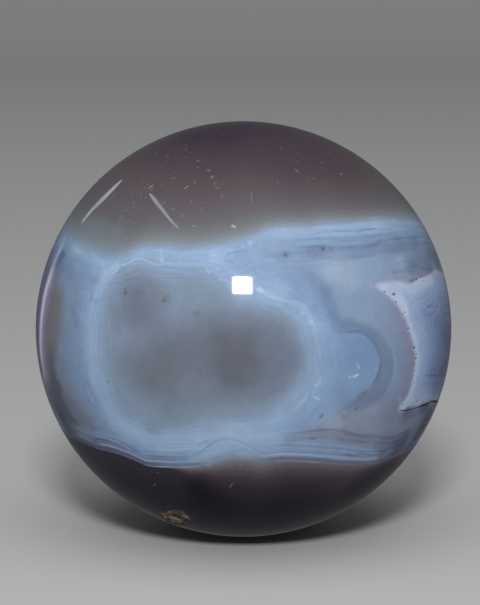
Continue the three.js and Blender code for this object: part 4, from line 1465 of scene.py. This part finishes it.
# Milky clouds and fine fibres: the noise's size in mm, detail and roughness; then the noise where
# they are darkest and lightest, and how dark and light that is; and how much of the clouds shows.
CLOUD_NOISE = (4.5, 4, 0.62)
CLOUD_SHADES = (0.3, 0.72, 0.94, 1.06)
CLOUD_COVER = 0.9
FIBRE_NOISE = (0.55, 3, 0.6)
FIBRE_SHADES = (0.25, 0.75, 0.965, 1.035)
# Streaks: the noise's detail and where it is darkest and lightest; then the depths where those in
# the cells begin and are full, and their length, thickness and swing.
STREAK_DETAIL = 2.0
STREAK_NOISE = (0.3, 0.7)
CELL_STREAKS_RISE = (0.8, 2.5)
CELL_STREAKS = (5.0, 0.40, 0.05)
# Streaks along the window's rim, under the upper wall and over the lower one: the distances where
# they fade in and out, then their length, thickness and swing.
RIM_STREAKS = ((-7.0, -3.0), (3.0, 0.5), (5.0, 0.40, 0.05))
TOP_STREAKS = ((0.0, 1.0), (11.0, 5.0), (6.0, 0.35, 0.06))
BOTTOM_STREAKS = ((0.0, 0.6), (9.0, 4.0), (6.0, 0.30, 0.08))
POLISHED_ROUGHNESS = 0.06
WORN_ROUGHNESS = 0.51
AGATE_IOR = 1.54


class Nodes:
    """Short names for the few kinds of node the stone is painted with."""

    def __init__(self, material):
        material.use_nodes = True
        self.tree = material.node_tree
        self.shader = self.tree.nodes["Principled BSDF"]

    def link(self, source, target):
        """Links a socket, or sets a plain value."""
        if isinstance(source, bpy.types.NodeSocket):
            self.tree.links.new(source, target)
        else:
            target.default_value = source

    def add(self, kind, inputs, **settings):
        """A new node with these settings and inputs."""
        node = self.tree.nodes.new(kind)
        for name, value in settings.items():
            setattr(node, name, value)
        for name, value in inputs.items():
            self.link(value, node.inputs[name])
        return node

    def math(self, operation, *values):
        node = self.add("ShaderNodeMath", {}, operation=operation)
        for value, socket in zip(values, node.inputs):
            self.link(value, socket)
        return node.outputs[0]

    def product(self, first, second):
        return self.math("MULTIPLY", first, second)

    def attribute(self, name):
        """The outputs of a node that reads what is stored at the vertices under this name."""
        return self.add("ShaderNodeAttribute", {}, attribute_name=name).outputs

    def paint(self, name):
        return self.attribute(name)["Color"]

    def read(self, name):
        """The three numbers stored under this name."""
        inputs = {"Vector": self.attribute(name)["Vector"]}
        return self.add("ShaderNodeSeparateXYZ", inputs).outputs

    def ease(self, value, low, high, to_low=0.0, to_high=1.0):
        """The node form of ease: smooth from to_low at low to to_high at high."""
        inputs = {"Value": value, "From Min": low, "From Max": high, "To Min": to_low,
                  "To Max": to_high}
        return self.add("ShaderNodeMapRange", inputs, interpolation_type="SMOOTHSTEP").outputs[0]

    def noise(self, size, detail, roughness=0.5, **more):
        """Noise of this size in mm; more sets the fourth dimension."""
        place = self.add("ShaderNodeTexCoord", {}).outputs["Object"]
        inputs = {"Vector": place, "Scale": 1 / (size * MM), "Detail": detail,
                  "Roughness": roughness}
        settings = {}
        if more:
            settings["noise_dimensions"] = "4D"
        return self.add("ShaderNodeTexNoise", {**inputs, **more}, **settings).outputs["Fac"]

    def streaks(self, distance, length, thickness, swing):
        """Lighter and darker streaks that run along the lines of equal distance, sizes in mm."""
        drawn_out = self.product(distance, length * MM / thickness)
        noise = self.noise(length, STREAK_DETAIL, W=drawn_out)
        return self.ease(noise, *STREAK_NOISE, 1 - swing, 1 + swing)

    def blend(self, under, over, share, way="MIX"):
        """One colour over another, by this share and in this way."""
        node = self.add("ShaderNodeMix", {}, data_type="RGBA", blend_type=way)
        self.link(share, node.inputs[MIX_SHARE])
        self.link(under, node.inputs[MIX_UNDER])
        self.link(over, node.inputs[MIX_OVER])
        return node.outputs[MIX_RESULT]

    def bands(self, bands, distance, share, under):
        """Lays a row of bands at their distances from a wall over the colour beneath."""
        first, last = bands[0][0], bands[-1][0]
        inputs = {"Value": distance, "From Min": first, "From Max": last}
        ramp = self.add("ShaderNodeValToRGB", {})
        elements = ramp.color_ramp.elements
        while len(elements) < len(bands):
            elements.new(1.0)
        for element, (millimetres, colour, cover) in zip(elements, bands):
            element.position = (millimetres - first) / (last - first)
            element.color = (*sRGB(*colour), cover)
        self.link(self.add("ShaderNodeMapRange", inputs).outputs[0], ramp.inputs[0])
        cover = ramp.outputs["Alpha"]
        if share is not None:
            cover = self.product(cover, share)
        return self.blend(under, ramp.outputs["Color"], cover)


def add_streaks(n, colour, window, below_top, over):
    """Streaks that follow the window's rim and the two walls."""
    for distance, (rising, falling, sizes) in (
            (window, RIM_STREAKS), (below_top, TOP_STREAKS), (over, BOTTOM_STREAKS)):
        share = n.product(n.ease(distance, *rising), n.ease(distance, *falling))
        colour = n.blend(colour, n.streaks(distance, *sizes), share, "MULTIPLY")
    return colour


def add_wall_bands(n, colour, below_top, over):
    """The caps and the bands along the two walls."""
    top, left, right = n.read("shown")
    top_rate, low_rate, dark = n.read("rates")
    ahead = n.read("cells")[2]
    up = n.product(below_top, -1.0)
    down = n.product(over, -1.0)
    for bands, distance, share in (
            (TOP_CAP, n.product(up, top_rate), None),
            (BOTTOM_CAP, n.math("MULTIPLY_ADD", down, low_rate, ahead), None),
            (BOTTOM_DARK, down, dark),
            (TOP_BANDS, below_top, top),
            (LEFT_FAN, over, left),
            (RIGHT_FAN, over, right)):
        colour = n.bands(bands, distance, share, colour)
    return colour


def add_cells(n, colour, waver, left_shown):
    """The bands and streaks within the two white-edged cells; the left-hand cell's white edge is a painted
    reflection.
    """
    right_cell, left_cell, _ = n.read("cells")
    for bands, depth, share in ((RIGHT_CELL_BANDS, right_cell, None),
                                (LEFT_CELL_AND_REFLECTION_BANDS, left_cell, left_shown)):
        depth = n.math("ADD", waver, depth)
        colour = n.bands(bands, depth, share, colour)
        streaks = n.streaks(depth, *CELL_STREAKS)
        colour = n.blend(colour, streaks, n.ease(depth, *CELL_STREAKS_RISE), "MULTIPLY")
    return colour


def add_strokes(n, colour, belt):
    """Threads, seams and specks, then milky clouds in the belt and fine fibres everywhere."""
    colour = n.blend(colour, n.paint("uncovered"), 1.0, "MULTIPLY")
    colour = n.blend(colour, n.paint("strokes"), 1.0, "ADD")
    milk = n.ease(n.noise(*CLOUD_NOISE), *CLOUD_SHADES)
    colour = n.blend(colour, milk, n.product(belt, CLOUD_COVER), "MULTIPLY")
    fibres = n.ease(n.noise(*FIBRE_NOISE), *FIBRE_SHADES)
    return n.blend(colour, fibres, 1.0, "MULTIPLY")


def agate_material():
    """The polished stone, painted from the distances stored at each vertex."""
    material = bpy.data.materials.new("agate")
    n = Nodes(material)
    above, over, window = n.read("walls")
    wear, belt, left_shown = n.read("finish")
    waver = n.math("MULTIPLY_ADD", n.noise(WAVER_SIZE, WAVER_DETAIL), 2 * WAVER, -WAVER)
    over = n.math("ADD", over, waver)
    below_top = n.math("SUBTRACT", waver, above)
    colour = add_streaks(n, n.paint("paint"), window, below_top, over)
    colour = add_wall_bands(n, colour, below_top, over)
    colour = add_cells(n, colour, waver, left_shown)
    n.link(add_strokes(n, colour, belt), n.shader.inputs["Base Color"])
    added = WORN_ROUGHNESS - POLISHED_ROUGHNESS
    roughness = n.math("MULTIPLY_ADD", wear, added, POLISHED_ROUGHNESS)
    n.link(roughness, n.shader.inputs["Roughness"])
    n.shader.inputs["IOR"].default_value = AGATE_IOR
    return material


add_camera()
for settings in LIGHTS:
    add_light(*settings)
add_room()
add_floor()
add_stone(agate_material())
